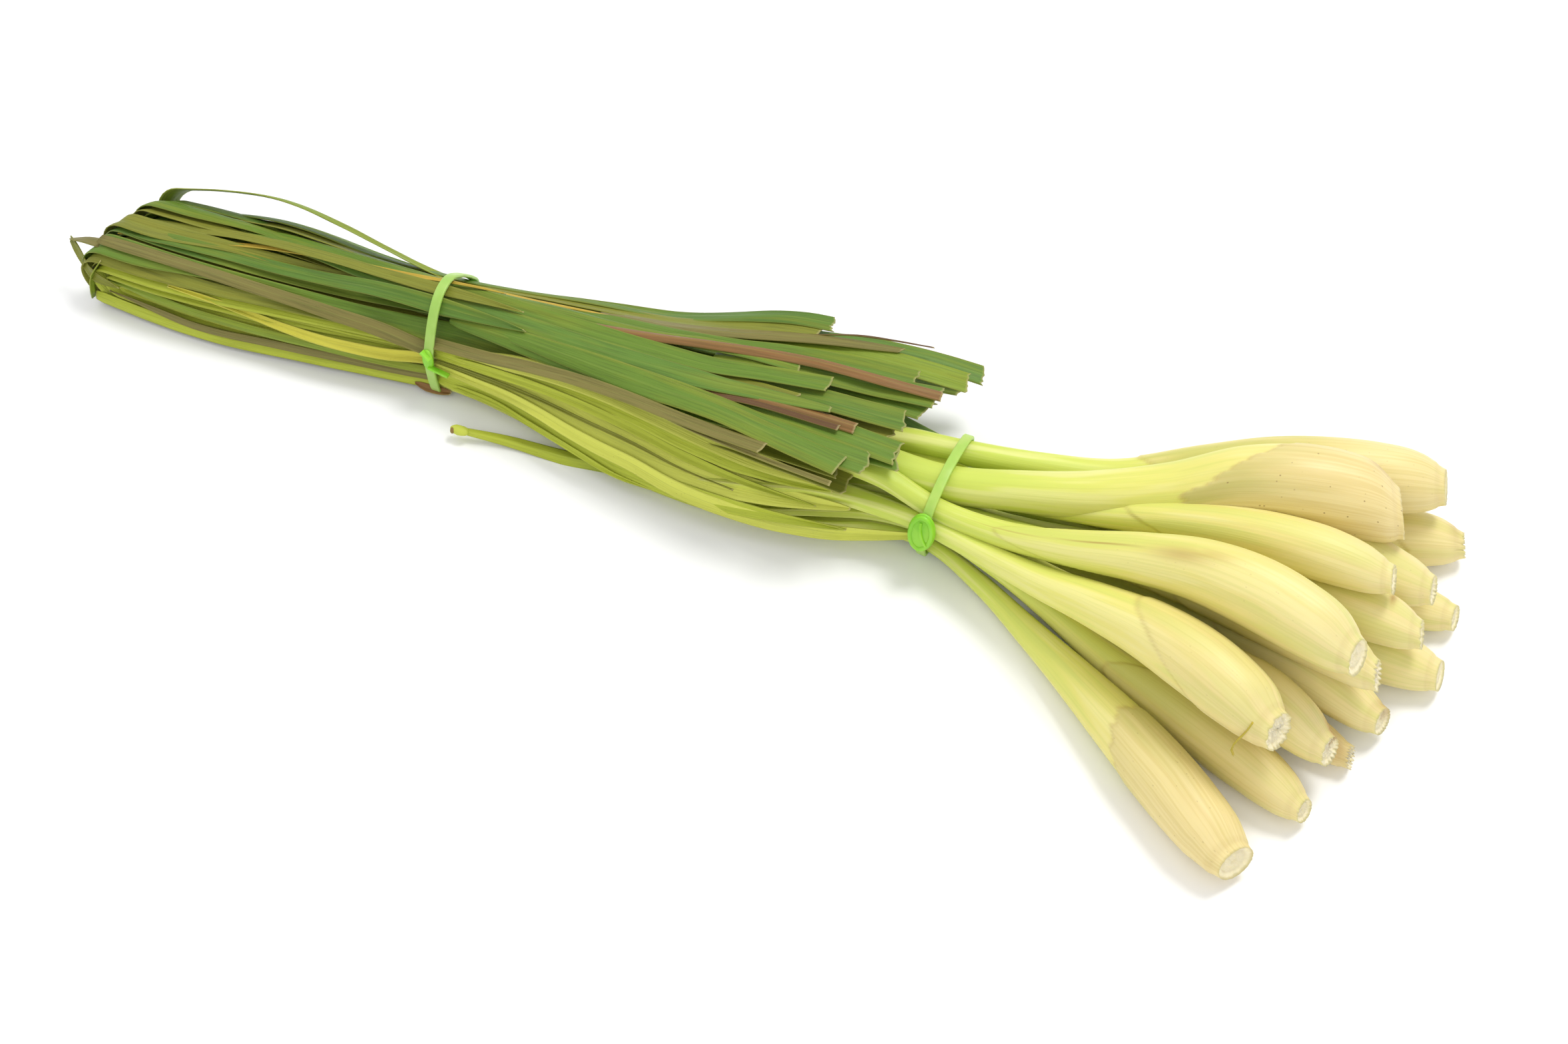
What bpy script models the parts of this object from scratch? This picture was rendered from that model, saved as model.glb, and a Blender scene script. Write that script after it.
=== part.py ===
"""A tied bunch of lemongrass, lying on a table.

Sixteen stalks fan out to the right of a rubber band.  To its left their sheaths flatten
into leaf blades, which run to the far end, fold back on themselves and return over the top,
under a second rubber band, to cut ends.

The layout works in millimetres, seen as upright slices across the bunch: x runs along it,
y is the depth of the fan and z is up.  Stalks and leaves are laid one on another in order,
from the table upwards, so that nothing passes through anything else.
"""
import math

import bmesh
import bpy
import numpy as np
from mathutils import Matrix, Vector

MM = 0.001                      # one millimetre in the scene's metres

# ---------------------------------------------------------------- driving dimensions
NECK_X = 38.0                   # the lower band, round the necks
LEAF_BAND_X = -128.0            # the upper band, round the leaves
FOLD_X = -232.0                 # where the innermost leaf turns back
FOLD_STAGGER = 9.0              # the outermost leaf turns this much further on
FOLD_DEPTH = 0.75               # how far a fold bulges, against its half height
FOLD_SKEW = 0.45                # the folded end slants: x gained for each y
SHEATH_END_X = -78.0            # the sheath is open here, and only its blades go on

BLADE = 0.85                    # thickness of a leaf blade
BLADE_PITCH = 1.5               # from one blade of a stalk to the next above it
GAP = 0.6                       # air between a blade and what it lies on
STALK_GAP = 0.7                 # and between stalks, which bend more
SHEATH_HALF = 5.0               # half the width of a flattened sheath, at most
BAND_WIDTH = 4.2
BAND_THICK = 1.1
BAND_GAP = 0.5                  # air between a band and what it holds
FLAT_PRESS = 0.75               # a bulb's underside is pressed flat up to this height
DROOP = 0.28                    # how much lower the heap of leaves is at its sides
RING_SIDES = 10
BLADE_STEP = 20.0               # length of one straight piece of blade
ROOT_HALF = 3.4                 # half a blade's width inside its sheath
SHEATH_RINGS = 7
FOLD_STEPS = 6
CUT_SKEW = 1.2                  # how far a blade's cut end is off square
SHEATH_LIP = 0.15               # how far the open end of a sheath stands proud of its blades
BAND_SIDES = 40
BAND_REST = 2.55                        # the bunch is lifted this much over its bands
KNOT_LIFT = 0.75                # how far a knot sits out of its band, in half thicknesses

# the middle of the footprint, which becomes the origin
CENTRE = (-37.4831, 16.2121)

# One row for each stalk, lowest in the heap first: its number, where its butt lies (x, y),
# bulb radius, neck radius, y at the neck, its column among the leaves from 0 at the front to
# 3 at the back, and for each leaf blade, upper one first, the x of its cut end, how far it
# has strayed across its column (-1 to the front, 1 to the back) and its width.
STALKS = (
    (3, 180, 82, 8.5, 2.2, 36.6, 3, ((32, 1.0, 8.0), (30, -0.8, 9.0))),
    (8, 183, 32, 8.6, 2.2, 31.2, 2, ((18, 0.9, 9.4), (24, -0.7, 9.4))),
    (13, 167, -3, 5.8, 2.1, 25.9, 1, ((22, 0.5, 9.4), (-10, -1.0, 7.0))),
    (16, 148, -49, 9.1, 2.4, 21.0, 0, ((10, -0.6, 9.4), (26, 0.6, 8.5))),
    (6, 183, 55, 7.2, 2.1, 36.4, 3, ((12, 0.2, 9.4), (-4, 0.9, 9.4))),
    (7, 174, 30, 8.0, 2.1, 31.0, 2, ((30, -1.0, 8.0), (-2, 0.1, 9.4))),
    (11, 172, 10, 7.6, 2.1, 25.7, 1, ((20, -0.6, 9.0), (2, 0.8, 9.4))),
    (15, 160, -25, 7.8, 2.2, 20.4, 0, ((-24, 0.3, 9.0), (14, -0.9, 9.4))),
    (5, 174, 49, 8.5, 2.1, 36.6, 3, ((26, 0.7, 9.4), (8, -0.4, 9.4))),
    (4, 162, 31, 7.4, 2.2, 31.2, 2, ((-14, 0.6, 9.4), (2, -0.2, 9.4))),
    (10, 166, 9, 8.5, 2.2, 25.8, 1, ((-14, 0.0, 9.4), (4, 0.9, 9.4))),
    (12, 161, -11, 8.5, 2.2, 20.6, 0, ((-30, 0.7, 9.0), (-12, 0.0, 9.0))),
    (1, 169, 81, 10.0, 2.8, 38.0, 3, ((0, -0.7, 9.4), (16, 0.4, 9.0))),
    (2, 159, 61, 11.8, 4.8, 32.0, 2, ((-25, 0.5, 9.4), (-8, -0.9, 9.4))),
    (9, 159, -1, 9.4, 3.1, 24.9, 1, ((-28, 0.7, 9.4), (-6, -0.3, 9.4))),
    (14, 147, -22, 9.5, 2.8, 18.9, 0, ((-40, -0.5, 9.4), (-20, 0.9, 9.4))),
)
COLUMNS = 4
COLUMN_GAP = 0.4                        # a blade by the fold is this far inside its column
ARCH = 9.0                              # the topmost leaf arches this far above the others
STUB = ((-40.0, 0.0, 3.4), (-60.0, -2.5, 3.3), (-76.0, -8.0, 3.0), (-95.0, -13.0, 2.8),
        (-111.0, -17.5, 2.4))
STUB_STALK = 16                         # the front stalk has a torn stub of leaf: x, y, half width
STUB_LIFT = 1.2                         # how far the stub's tip is off the table

# how a bulb swells: distance from the butt as a share of the way to the neck, and swelling
BULB_SWELL = ((0.0, 0.36), (0.03, 0.62), (0.08, 0.86), (0.17, 1.0), (0.3, 0.92),
              (0.5, 0.55), (0.7, 0.22), (0.85, 0.06), (1.0, 0.0))
BULB_RINGS = (0.0, 0.025, 0.07, 0.14, 0.24, 0.36, 0.5, 0.66, 0.83, 1.0)

# outlines seen from above, (x, y): leaves going out, and leaves coming back on top of them
GOING_FRONT = ((-262, 3), (-227, 1.5), (-206, 1.5), (-179, 6), (-153, 10), (-131, 15), (-112, 15),
               (-86, 11.5), (-60, 5.5), (-41, 4), (-15, 5), (9, 8), (20, 11), (38, 17))
GOING_BACK = ((-262, 35), (-230, 38), (-200, 41), (-160, 42), (-129, 43), (-100, 44),
              (-60, 43), (-20, 41.5), (38, 40))
BACK_FRONT = ((-262, 3), (-227, 1.5), (-206, 1.5), (-179, 6), (-153, 10), (-128, 15.5),
              (-105, 17), (-80, 14.5), (-55, 12), (-20, 9), (10, 8), (40, 8))
BACK_BACK = ((-262, 35), (-236, 39), (-198, 42), (-171, 42.5), (-150, 43), (-128, 44),
             (-101, 51), (-78, 55), (-46, 61), (-6, 71), (40, 82))
HEAP_X = np.arange(-265.0, 193.0, 5.0)  # the slices
HEAP_Y = np.arange(-75.0, 115.0, 0.5)   # and where each is measured


# ---------------------------------------------------------------- the layout
def smooth(values, reach):
    """Average each value with its neighbours, keeping the ends."""
    padded = np.pad(values, reach, mode="edge")
    kernel = np.ones(2 * reach + 1) / (2 * reach + 1)
    return np.convolve(padded, kernel, mode="valid")


def cover(values, reach):
    """A smooth line that is nowhere below the values."""
    padded = np.pad(values, reach, mode="edge")
    highest = np.max([padded[i:i + len(values)] for i in range(2 * reach + 1)], axis=0)
    return smooth(highest, reach)


def outline(points):
    """An outline's y in every slice, with its corners rounded."""
    xs, ys = zip(*points)
    return smooth(smooth(np.interp(HEAP_X, xs, ys), 2), 2)


def straight(values, stations):
    """The values in every slice, with straight pieces between the stations."""
    return np.interp(HEAP_X, stations, np.interp(stations, HEAP_X, values))


def span(line, need, stations):
    """The line in straight pieces between the stations, raised where it is below the need."""
    heights = np.interp(stations, HEAP_X, line)
    for k in range(len(stations) - 1):
        piece = (HEAP_X >= stations[k]) & (HEAP_X <= stations[k + 1])
        short = (need - np.interp(HEAP_X, stations, heights))[piece]
        lack = max(short.max(initial=0.0), 0.0)
        heights[k:k + 2] += lack
    return np.interp(HEAP_X, stations, heights)


def settle(heap, y, half_width, half_height, active, roundness, reach, stations,
           lowest=0.0, gap=GAP):
    """Lay one strand on the heap, and return the height of its middle in every slice."""
    aside = np.abs(HEAP_Y[None, :] - y[:, None])
    share = np.clip(aside / half_width[:, None], 0.0, 1.0)
    inside = aside < half_width[:, None]
    body = half_height[:, None] * (1.0 - share ** roundness) ** (1.0 / roundness)
    need = np.where(inside, heap + body, -1.0).max(1) + gap
    need = np.maximum(need, lowest)
    first, last = np.flatnonzero(active)[[0, -1]]
    need[:first] = need[first]
    need[last + 1:] = need[last]
    z = span(cover(need, reach), need, stations)
    covered = inside & active[:, None]
    heap[covered] = np.maximum(heap, z[:, None] + body)[covered]
    return z


def swell(share):
    """Swelling of a bulb at a share of the way from its butt to its neck."""
    shares, sizes = zip(*BULB_SWELL)
    return np.interp(share, shares, sizes)


def ease(x, start, end):
    """A smooth step: 0 at the start, 1 at the end."""
    way = np.clip((x - start) / (end - start), 0.0, 1.0)
    return way * way * (3.0 - 2.0 * way)


def stalk_stations(butt_x):
    """Where a stalk has its rings, from its butt to the open end of its sheath."""
    bulb = [butt_x + (NECK_X - butt_x) * share for share in BULB_RINGS]
    pieces = [NECK_X + (SHEATH_END_X - NECK_X) * k / SHEATH_RINGS
              for k in range(1, SHEATH_RINGS + 1)]
    return bulb + pieces


def going_stations(fold):
    """Where a blade on its way out bends, from its sheath's end to its fold."""
    count = round((SHEATH_END_X - fold) / BLADE_STEP)
    return [SHEATH_END_X + (fold - SHEATH_END_X) * k / count for k in range(1, count + 1)]


def back_stations(fold, end):
    """Where a returning blade bends, from its fold to its cut end."""
    middle = [SHEATH_END_X + BLADE_STEP * k for k in range(-9, 8)]
    middle = [x for x in middle if fold + 0.4 * BLADE_STEP < x < end - 0.4 * BLADE_STEP]
    return [fold] + middle + [end]


def lay_stalk(heap, row, fold):
    """Lay a stalk on the heap, from its butt to the fold of its leaves."""
    _, butt_x, butt_y, bulb, neck, neck_y, column, blades = row
    front, back = outline(GOING_FRONT), outline(GOING_BACK)
    pitch = (back - front) / COLUMNS
    left_y = front + (column + 0.5) * pitch
    way = np.clip((HEAP_X - NECK_X) / (butt_x - NECK_X), 0.0, 1.3)
    right_y = neck_y + (butt_y - neck_y) * way ** 1.12
    y = right_y + (left_y - neck_y) * ease(HEAP_X, NECK_X, NECK_X - 60.0)
    y = smooth(smooth(y, 2), 2)
    stations = np.array(sorted(stalk_stations(butt_x) + going_stations(fold)))
    stretch = np.hypot(1.0, np.gradient(y, HEAP_X))
    y = straight(y, stations)
    radius = neck + (bulb - neck) * swell(1.0 - np.clip(way, 0.0, 1.0))
    flat = ease(HEAP_X, NECK_X, NECK_X - 60.0)
    stack = (len(blades) - 1) * BLADE_PITCH / 2 + BLADE / 2
    leaf_half = np.minimum(pitch / 2 - COLUMN_GAP, SHEATH_HALF)
    half_width = straight((radius * (1 - flat) + leaf_half * flat) * stretch, stations)
    half_height = straight(radius * (1 - flat) + stack * flat, stations)
    active = (HEAP_X >= fold - 4.0) & (HEAP_X <= butt_x + 5.0)
    z = settle(heap, y, half_width, half_height, active, 2.0 + 4.0 * flat[:, None], 2,
               stations, gap=STALK_GAP)
    return {"row": row, "y": y, "half_width": half_width, "half_height": half_height,
            "z": z, "fold": fold, "blades": []}


def lay_blade(heap, strand, level, end):
    """Lay one returning blade on the heap, from its fold to its cut end."""
    end_x, stray, width = end
    front, back = outline(BACK_FRONT), outline(BACK_BACK)
    column = (back - front) / COLUMNS
    drift = stray * (column - width) / 2 * ease(HEAP_X, LEAF_BAND_X, LEAF_BAND_X + 80.0)
    y = front + (strand["row"][6] + 0.5) * column + drift
    offset = ((len(strand["row"][7]) - 1) / 2 - level) * BLADE_PITCH
    stiff = 12.0 * ease(HEAP_X, LEAF_BAND_X, -50.0)
    lowest = np.where(HEAP_X > SHEATH_END_X, 0.0, strand["z"] + offset + 3.0)
    active = (HEAP_X >= strand["fold"] - 8.0) & (HEAP_X <= end_x + 6.0)
    fill = ease(HEAP_X, -60.0, LEAF_BAND_X)
    half_width = width / 2 + (column / 2 - COLUMN_GAP - width / 2) * fill
    half_height = np.full(len(HEAP_X), BLADE / 2)
    stations = back_stations(strand["fold"], end_x)
    y = straight(y, stations)
    half_width = straight(half_width, stations)
    z = settle(heap, y, half_width, half_height, active, 40.0, 3, stations,
               np.maximum(lowest, stiff))
    return {"y": y, "z": z, "half": half_width, "end": end_x, "offset": offset}


def lay_out():
    """Pile up every stalk and blade.  Returns the strands and the heap of slices."""
    rest = BAND_REST * np.exp(-((HEAP_X - NECK_X) / 12.0) ** 4)
    rest += BAND_REST * np.exp(-((HEAP_X - LEAF_BAND_X) / 18.0) ** 4)
    heap = np.repeat(rest[:, None] - STALK_GAP, len(HEAP_Y), axis=1)
    strands = []
    for place, row in enumerate(STALKS):
        fold = FOLD_X - FOLD_STAGGER * (1.0 - place / (len(STALKS) - 1))
        strands.append(lay_stalk(heap, row, fold))
    for strand in reversed(strands):
        for level, end in enumerate(strand["row"][7]):
            strand["blades"].append(lay_blade(heap, strand, level, end))
    topmost = strands[0]["blades"][-1]
    topmost["z"] += ARCH * ease(HEAP_X, -130.0, -175.0) * ease(HEAP_X, -243.0, -205.0)
    return strands, heap


def at(values, x):
    return float(np.interp(x, HEAP_X, values))


def to_scene(x, y, z, press=FLAT_PRESS, floor=0.0):
    """Round the heap's sides, slant its folded end, and go from millimetres to metres."""
    front, back = at(outline(GOING_FRONT), x), at(outline(BACK_BACK), x)
    aside = min(abs(y - (front + back) / 2) / ((back - front) / 2), 1.1)
    z *= 1.0 - DROOP * float(ease(x, -20.0, -70.0)) * aside * aside
    x += FOLD_SKEW * float(ease(x, -140.0, -240.0)) * (y - 22.0)
    return ((x - CENTRE[0]) * MM, (y - CENTRE[1]) * MM, (floor if z < press else z) * MM)


# ---------------------------------------------------------------- solids
def make_material(name, colour, roughness):
    material = bpy.data.materials.new(name)
    material.use_nodes = True
    shader = material.node_tree.nodes["Principled BSDF"]
    shader.inputs["Base Color"].default_value = (*colour, 1.0)
    shader.inputs["Roughness"].default_value = roughness
    shader.inputs["Metallic"].default_value = 0.0
    return material


def make_object(name, mesh, collection, material):
    mesh.materials.clear()
    mesh.materials.append(material)
    obj = bpy.data.objects.new(name, mesh)
    collection.objects.link(obj)
    return obj


def solid_of(obj):
    """The object's evaluated mesh, as a new mesh."""
    graph = bpy.context.evaluated_depsgraph_get()
    return bpy.data.meshes.new_from_object(obj.evaluated_get(graph))


def stalk_mesh(strand):
    """Loft a stalk through its rings, from the butt to the open end of its sheath."""
    stations = stalk_stations(strand["row"][1])
    slope = np.gradient(strand["y"], HEAP_X)
    build = bmesh.new()
    rings = []
    for x in stations:
        tilt = at(slope, x)
        length = math.hypot(1.0, tilt)
        wide = at(strand["half_width"], x) / length
        tall = at(strand["half_height"], x)
        if x < NECK_X:
            tall += SHEATH_LIP * float(ease(x, -40.0, SHEATH_END_X))
        power = 2.0 / (2.0 + 4.0 * float(ease(x, NECK_X, NECK_X - 60.0)))
        ring = []
        for side in range(RING_SIDES):
            angle = 2 * math.pi * side / RING_SIDES
            across = wide * math.copysign(abs(math.cos(angle)) ** power, math.cos(angle))
            up = tall * math.copysign(abs(math.sin(angle)) ** power, math.sin(angle))
            place = to_scene(x - tilt / length * across, at(strand["y"], x) + across / length,
                             at(strand["z"], x) + up)
            ring.append(build.verts.new(place))
        rings.append(ring)
    for ring, after in zip(rings, rings[1:]):
        for side in range(RING_SIDES):
            beside = (side + 1) % RING_SIDES
            build.faces.new((ring[side], ring[beside], after[beside], after[side]))
    build.faces.new(list(reversed(rings[0])))
    build.faces.new(rings[-1])
    bmesh.ops.recalc_face_normals(build, faces=build.faces)
    mesh = bpy.data.meshes.new("stalk")
    build.to_mesh(mesh)
    build.free()
    return mesh


def blade_path(strand, blade):
    """Middle points (x, y, z) and half widths of a blade, from inside its sheath to its end."""
    fold = strand["fold"]
    path = []
    rooted = [SHEATH_END_X + 1.5 * BLADE_STEP, SHEATH_END_X]
    for x in rooted + going_stations(fold)[:-1]:
        half = at(strand["half_width"], x) - 0.1
        half = ROOT_HALF + (half - ROOT_HALF) * float(ease(x, SHEATH_END_X, -110.0))
        path.append((x, at(strand["y"], x), at(strand["z"], x) + blade["offset"], half))
    low = at(strand["z"], fold) + blade["offset"]
    high = at(blade["z"], fold)
    near_y, far_y = at(strand["y"], fold), at(blade["y"], fold)
    near_half, far_half = at(strand["half_width"], fold), at(blade["half"], fold)
    for step in range(FOLD_STEPS + 1):
        turn = math.pi * step / FOLD_STEPS
        x = fold - FOLD_DEPTH * (high - low) / 2 * math.sin(turn)
        z = (high + low) / 2 - (high - low) / 2 * math.cos(turn)
        share = (1 - math.cos(turn)) / 2
        half = near_half + (far_half - near_half) * share
        path.append((x, near_y + (far_y - near_y) * share, z, half))
    for x in back_stations(fold, blade["end"])[1:]:
        path.append((x, at(blade["y"], x), at(blade["z"], x), at(blade["half"], x)))
    return path


def stub_path(strand):
    """Middle points and half widths of the torn stub of an outer leaf, beside its sheath."""
    path = []
    for x, aside, half in STUB:
        lift = STUB_LIFT * float(ease(x, SHEATH_END_X, STUB[-1][0]))
        path.append((x, at(strand["y"], x) + aside, at(strand["z"], x) + lift, half))
    return path


def blade_mesh(path):
    """A strip along a blade's path, one face wide, cut a little askew at its end."""
    build = bmesh.new()
    rows = []
    lowest = BLADE / 2 + 0.02
    for place, (x, y, z, half) in enumerate(path):
        askew = CUT_SKEW if place == len(path) - 1 else 0.0
        near = to_scene(x - askew, y - half, z, lowest, lowest)
        far = to_scene(x + askew, y + half, z, lowest, lowest)
        rows.append((build.verts.new(near), build.verts.new(far)))
    for row, after in zip(rows, rows[1:]):
        build.faces.new((row[0], row[1], after[1], after[0]))
    mesh = bpy.data.meshes.new("blade")
    build.to_mesh(mesh)
    build.free()
    return mesh


def join_all(base, collection):
    """Union everything in the collection with the base, and remove what was joined."""
    union = base.modifiers.new("join", "BOOLEAN")
    union.operation = "UNION"
    union.operand_type = "COLLECTION"
    union.collection = collection
    union.solver = "EXACT"
    mesh = solid_of(base)
    base.modifiers.clear()
    base.data = mesh
    for obj in list(collection.objects):
        bpy.data.objects.remove(obj)
    mesh.shade_smooth()
    mesh.set_sharp_from_angle(angle=math.radians(40))


def make_stalk(strand, parts, loose, material):
    stalk = make_object("stalk_%02d" % strand["row"][0], stalk_mesh(strand), parts, material)
    paths = [blade_path(strand, blade) for blade in strand["blades"]]
    if strand["row"][0] == STUB_STALK:
        paths.append(stub_path(strand))
    for path in paths:
        strip = make_object("blade", blade_mesh(path), loose, material)
        shell = strip.modifiers.new("thickness", "SOLIDIFY")
        shell.thickness = BLADE * MM
        shell.offset = 0.0
    join_all(stalk, loose)


def held_points(strands, band_x, reach):
    """How far the held stalks and blades come near a band, as (y, z) in metres."""
    points = []
    for x in (band_x - reach, band_x, band_x + reach):
        for strand in strands:
            y, z = at(strand["y"], x), at(strand["z"], x)
            wide, tall = at(strand["half_width"], x), at(strand["half_height"], x)
            if x > SHEATH_END_X:
                for side in range(24):
                    angle = 2 * math.pi * side / 24
                    up = tall * math.sin(angle)
                    points.append(to_scene(x, y + wide * math.cos(angle), z + up))
                continue
            flats = [(y, z, wide, tall)]
            for blade in strand["blades"]:
                flats.append((at(blade["y"], x), at(blade["z"], x), at(blade["half"], x), BLADE / 2))
            for y, z, wide, tall in flats:
                for side in (-wide, wide):
                    points.append(to_scene(x, y + side, z - tall))
                    points.append(to_scene(x, y + side, z + tall))
    return np.array(points)[:, 1:]


def band_loop(points):
    """A convex loop round the points, with the band's gap, as (y, z) and outward normals."""
    reach = (BAND_GAP + BAND_THICK / 2) * MM
    angles = 2 * np.pi * np.arange(BAND_SIDES) / BAND_SIDES
    normals = np.stack((np.cos(angles), np.sin(angles)), axis=1)
    support = (points @ normals.T).max(0) + reach
    loop = []
    for side in range(BAND_SIDES):
        beside = (side + 1) % BAND_SIDES
        corner = np.linalg.solve(normals[[side, beside]], support[[side, beside]])
        loop.append(corner)
    return np.array(loop), normals


def make_band(name, band_x, reach, strands, parts, loose, material, knot):
    """A flat rubber band round the bunch, with a flat oval knot on its front."""
    knot_angle, wide, long, thick, hole = knot
    loop, normals = band_loop(held_points(strands, band_x, reach))
    middle = (band_x - CENTRE[0]) * MM
    build = bmesh.new()
    rows = []
    for y, z in loop:
        rows.append([build.verts.new((middle + side * BAND_WIDTH / 2 * MM, y, z))
                     for side in (-1, 1)])
    for row, after in zip(rows, rows[1:] + rows[:1]):
        build.faces.new((row[0], row[1], after[1], after[0]))
    bmesh.ops.recalc_face_normals(build, faces=build.faces)
    mesh = bpy.data.meshes.new(name)
    build.to_mesh(mesh)
    build.free()
    band = make_object(name, mesh, parts, material)
    shell = band.modifiers.new("thickness", "SOLIDIFY")
    shell.thickness = BAND_THICK * MM
    shell.offset = 0.0

    place = int(round(knot_angle / 360.0 * BAND_SIDES)) % BAND_SIDES
    normal = Vector((0.0, *normals[place]))
    point = Vector((middle, *((loop[place] + loop[place - 1]) / 2)))
    if hole:
        bpy.ops.mesh.primitive_torus_add(major_radius=0.7, minor_radius=0.3,
                                         major_segments=16, minor_segments=8)
    else:
        bpy.ops.mesh.primitive_uv_sphere_add(radius=1.0, segments=12, ring_count=8)
    knot = bpy.context.object
    height = 0.3 if hole else 1.0
    along = Vector((1.0, 0.0, 0.0))
    turn = Matrix((along, normal.cross(along), normal)).transposed().to_4x4()
    size = Matrix.Diagonal((wide / 2 * MM, long / 2 * MM, thick / 2 / height * MM, 1.0))
    lift = Matrix.Translation(point + normal * (thick / 2 * MM * KNOT_LIFT))
    knot.data.transform(lift @ turn @ size)
    knot.data.materials.append(material)
    for old in list(knot.users_collection):
        old.objects.unlink(knot)
    loose.objects.link(knot)
    join_all(band, loose)


def main():
    for obj in list(bpy.data.objects):
        bpy.data.objects.remove(obj)
    parts = bpy.data.collections.new("lemongrass_bunch")
    loose = bpy.data.collections.new("pieces_to_join")
    bpy.context.scene.collection.children.link(parts)
    bpy.context.scene.collection.children.link(loose)
    stalk_green = make_material("lemongrass", (0.62, 0.66, 0.25), 0.5)
    rubber = make_material("rubber", (0.33, 0.70, 0.10), 0.4)
    strands, _ = lay_out()
    for strand in strands:
        make_stalk(strand, parts, loose, stalk_green)
    make_band("band_neck", NECK_X, 3.0, strands, parts, loose, rubber,
              (165.0, 7.6, 12.0, 2.6, True))
    make_band("band_leaf", LEAF_BAND_X, 12.0, strands, parts, loose, rubber,
              (172.0, 5.0, 8.5, 2.6, False))
    bpy.data.collections.remove(loose)


main()
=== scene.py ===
# %% [markdown]
# # A tied bunch of lemongrass
#
# Sixteen stalks of lemongrass, held by two rubber bands.  The cut butts fan out to the right.
# To the left every stalk flattens into leaves, which run to the far end of the bunch, fold
# back on themselves and return over the top to ragged cut ends.
#
# The solids of the bunch are already packed.  Here each of them is replaced by a finer piece
# that follows the same lines, with the thin leaves, torn ends and colours of the real plant.

import math
import random

import bmesh
import bpy
import numpy as np
from mathutils import Matrix, Vector


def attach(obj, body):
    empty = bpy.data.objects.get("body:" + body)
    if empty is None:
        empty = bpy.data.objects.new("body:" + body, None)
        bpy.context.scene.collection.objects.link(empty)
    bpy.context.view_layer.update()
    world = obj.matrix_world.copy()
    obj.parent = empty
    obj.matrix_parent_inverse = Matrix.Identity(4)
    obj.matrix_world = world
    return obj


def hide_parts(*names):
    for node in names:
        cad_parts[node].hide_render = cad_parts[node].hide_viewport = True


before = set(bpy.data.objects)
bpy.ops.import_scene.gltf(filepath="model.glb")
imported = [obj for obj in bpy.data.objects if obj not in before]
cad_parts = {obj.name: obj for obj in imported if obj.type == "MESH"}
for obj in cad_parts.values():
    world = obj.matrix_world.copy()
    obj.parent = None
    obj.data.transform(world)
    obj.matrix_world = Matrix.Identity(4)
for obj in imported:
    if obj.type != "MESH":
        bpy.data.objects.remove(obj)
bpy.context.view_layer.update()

# %% [markdown]
# ## The lines that everything follows
#
# A bunch is a heap.  Seen as upright slices across it, every stalk and leaf lies on what is
# beneath it, so heights need not be invented: strands are laid in order and each takes the
# first free height.  The solids were laid out by this rule, and the same values are used
# again here, in millimetres: x along the bunch, y across it, z up.

# %% Main dimensions, in millimetres
MM = 0.001                      # one millimetre in metres
NECK_X = 38.0                   # the lower band, round the necks
LEAF_BAND_X = -128.0            # the upper band, round the leaves
FOLD_X = -232.0                 # where the innermost leaf turns back
FOLD_STAGGER = 9.0              # the outermost leaf turns this much further on
FOLD_DEPTH = 0.75               # how far a fold bulges, against its half height
FOLD_SKEW = 0.45                # the folded end slants: x gained for each y
SHEATH_END_X = -78.0            # the sheath is open here, and only its blades go on
BLADE = 0.85                    # room that a blade takes in the heap
BLADE_PITCH = 1.5               # from one blade of a stalk to the next above it
GAP = 0.6                       # room left between a blade and what it lies on
STALK_GAP = 0.7                 # the same for a stalk
SHEATH_HALF = 5.0               # half the width of a flattened sheath
FLATTENING = 60.0               # a sheath is flat this far beyond its neck
BAND_THICK = 1.1                # how thick a band is
BAND_GAP = 0.5                  # room between a solid band and the bunch
DROOP = 0.28                    # how much lower the heap of leaves is at its sides
BLADE_STEP = 20.0               # from one bend of a blade to the next
SHEATH_RINGS = 7                # bends of a sheath between its neck and its open end
BAND_REST = 2.55                # the bunch is lifted this much over its bands
CENTRE = (-37.4831, 16.2121)    # middle of the footprint, which becomes the origin
COLUMNS = 4                     # the leaves lie in this many columns, side by side
COLUMN_GAP = 0.4                # left free at each side of a column
ARCH = 9.0                      # the topmost leaf arches this far above the others
STUB_STALK = 16                 # the front stalk has a torn stub of leaf, as a row of
                                # (x, y from the stalk's line, half width)
STUB = ((-40.0, 0.0, 3.4), (-60.0, -2.5, 3.3), (-76.0, -8.0, 3.0), (-95.0, -13.0, 2.8),
        (-111.0, -17.5, 2.4))
STUB_LIFT = 1.2                 # its tip is raised this much
STUB_RISE = 1.2                 # and all of it this much, to clear the floor

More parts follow.
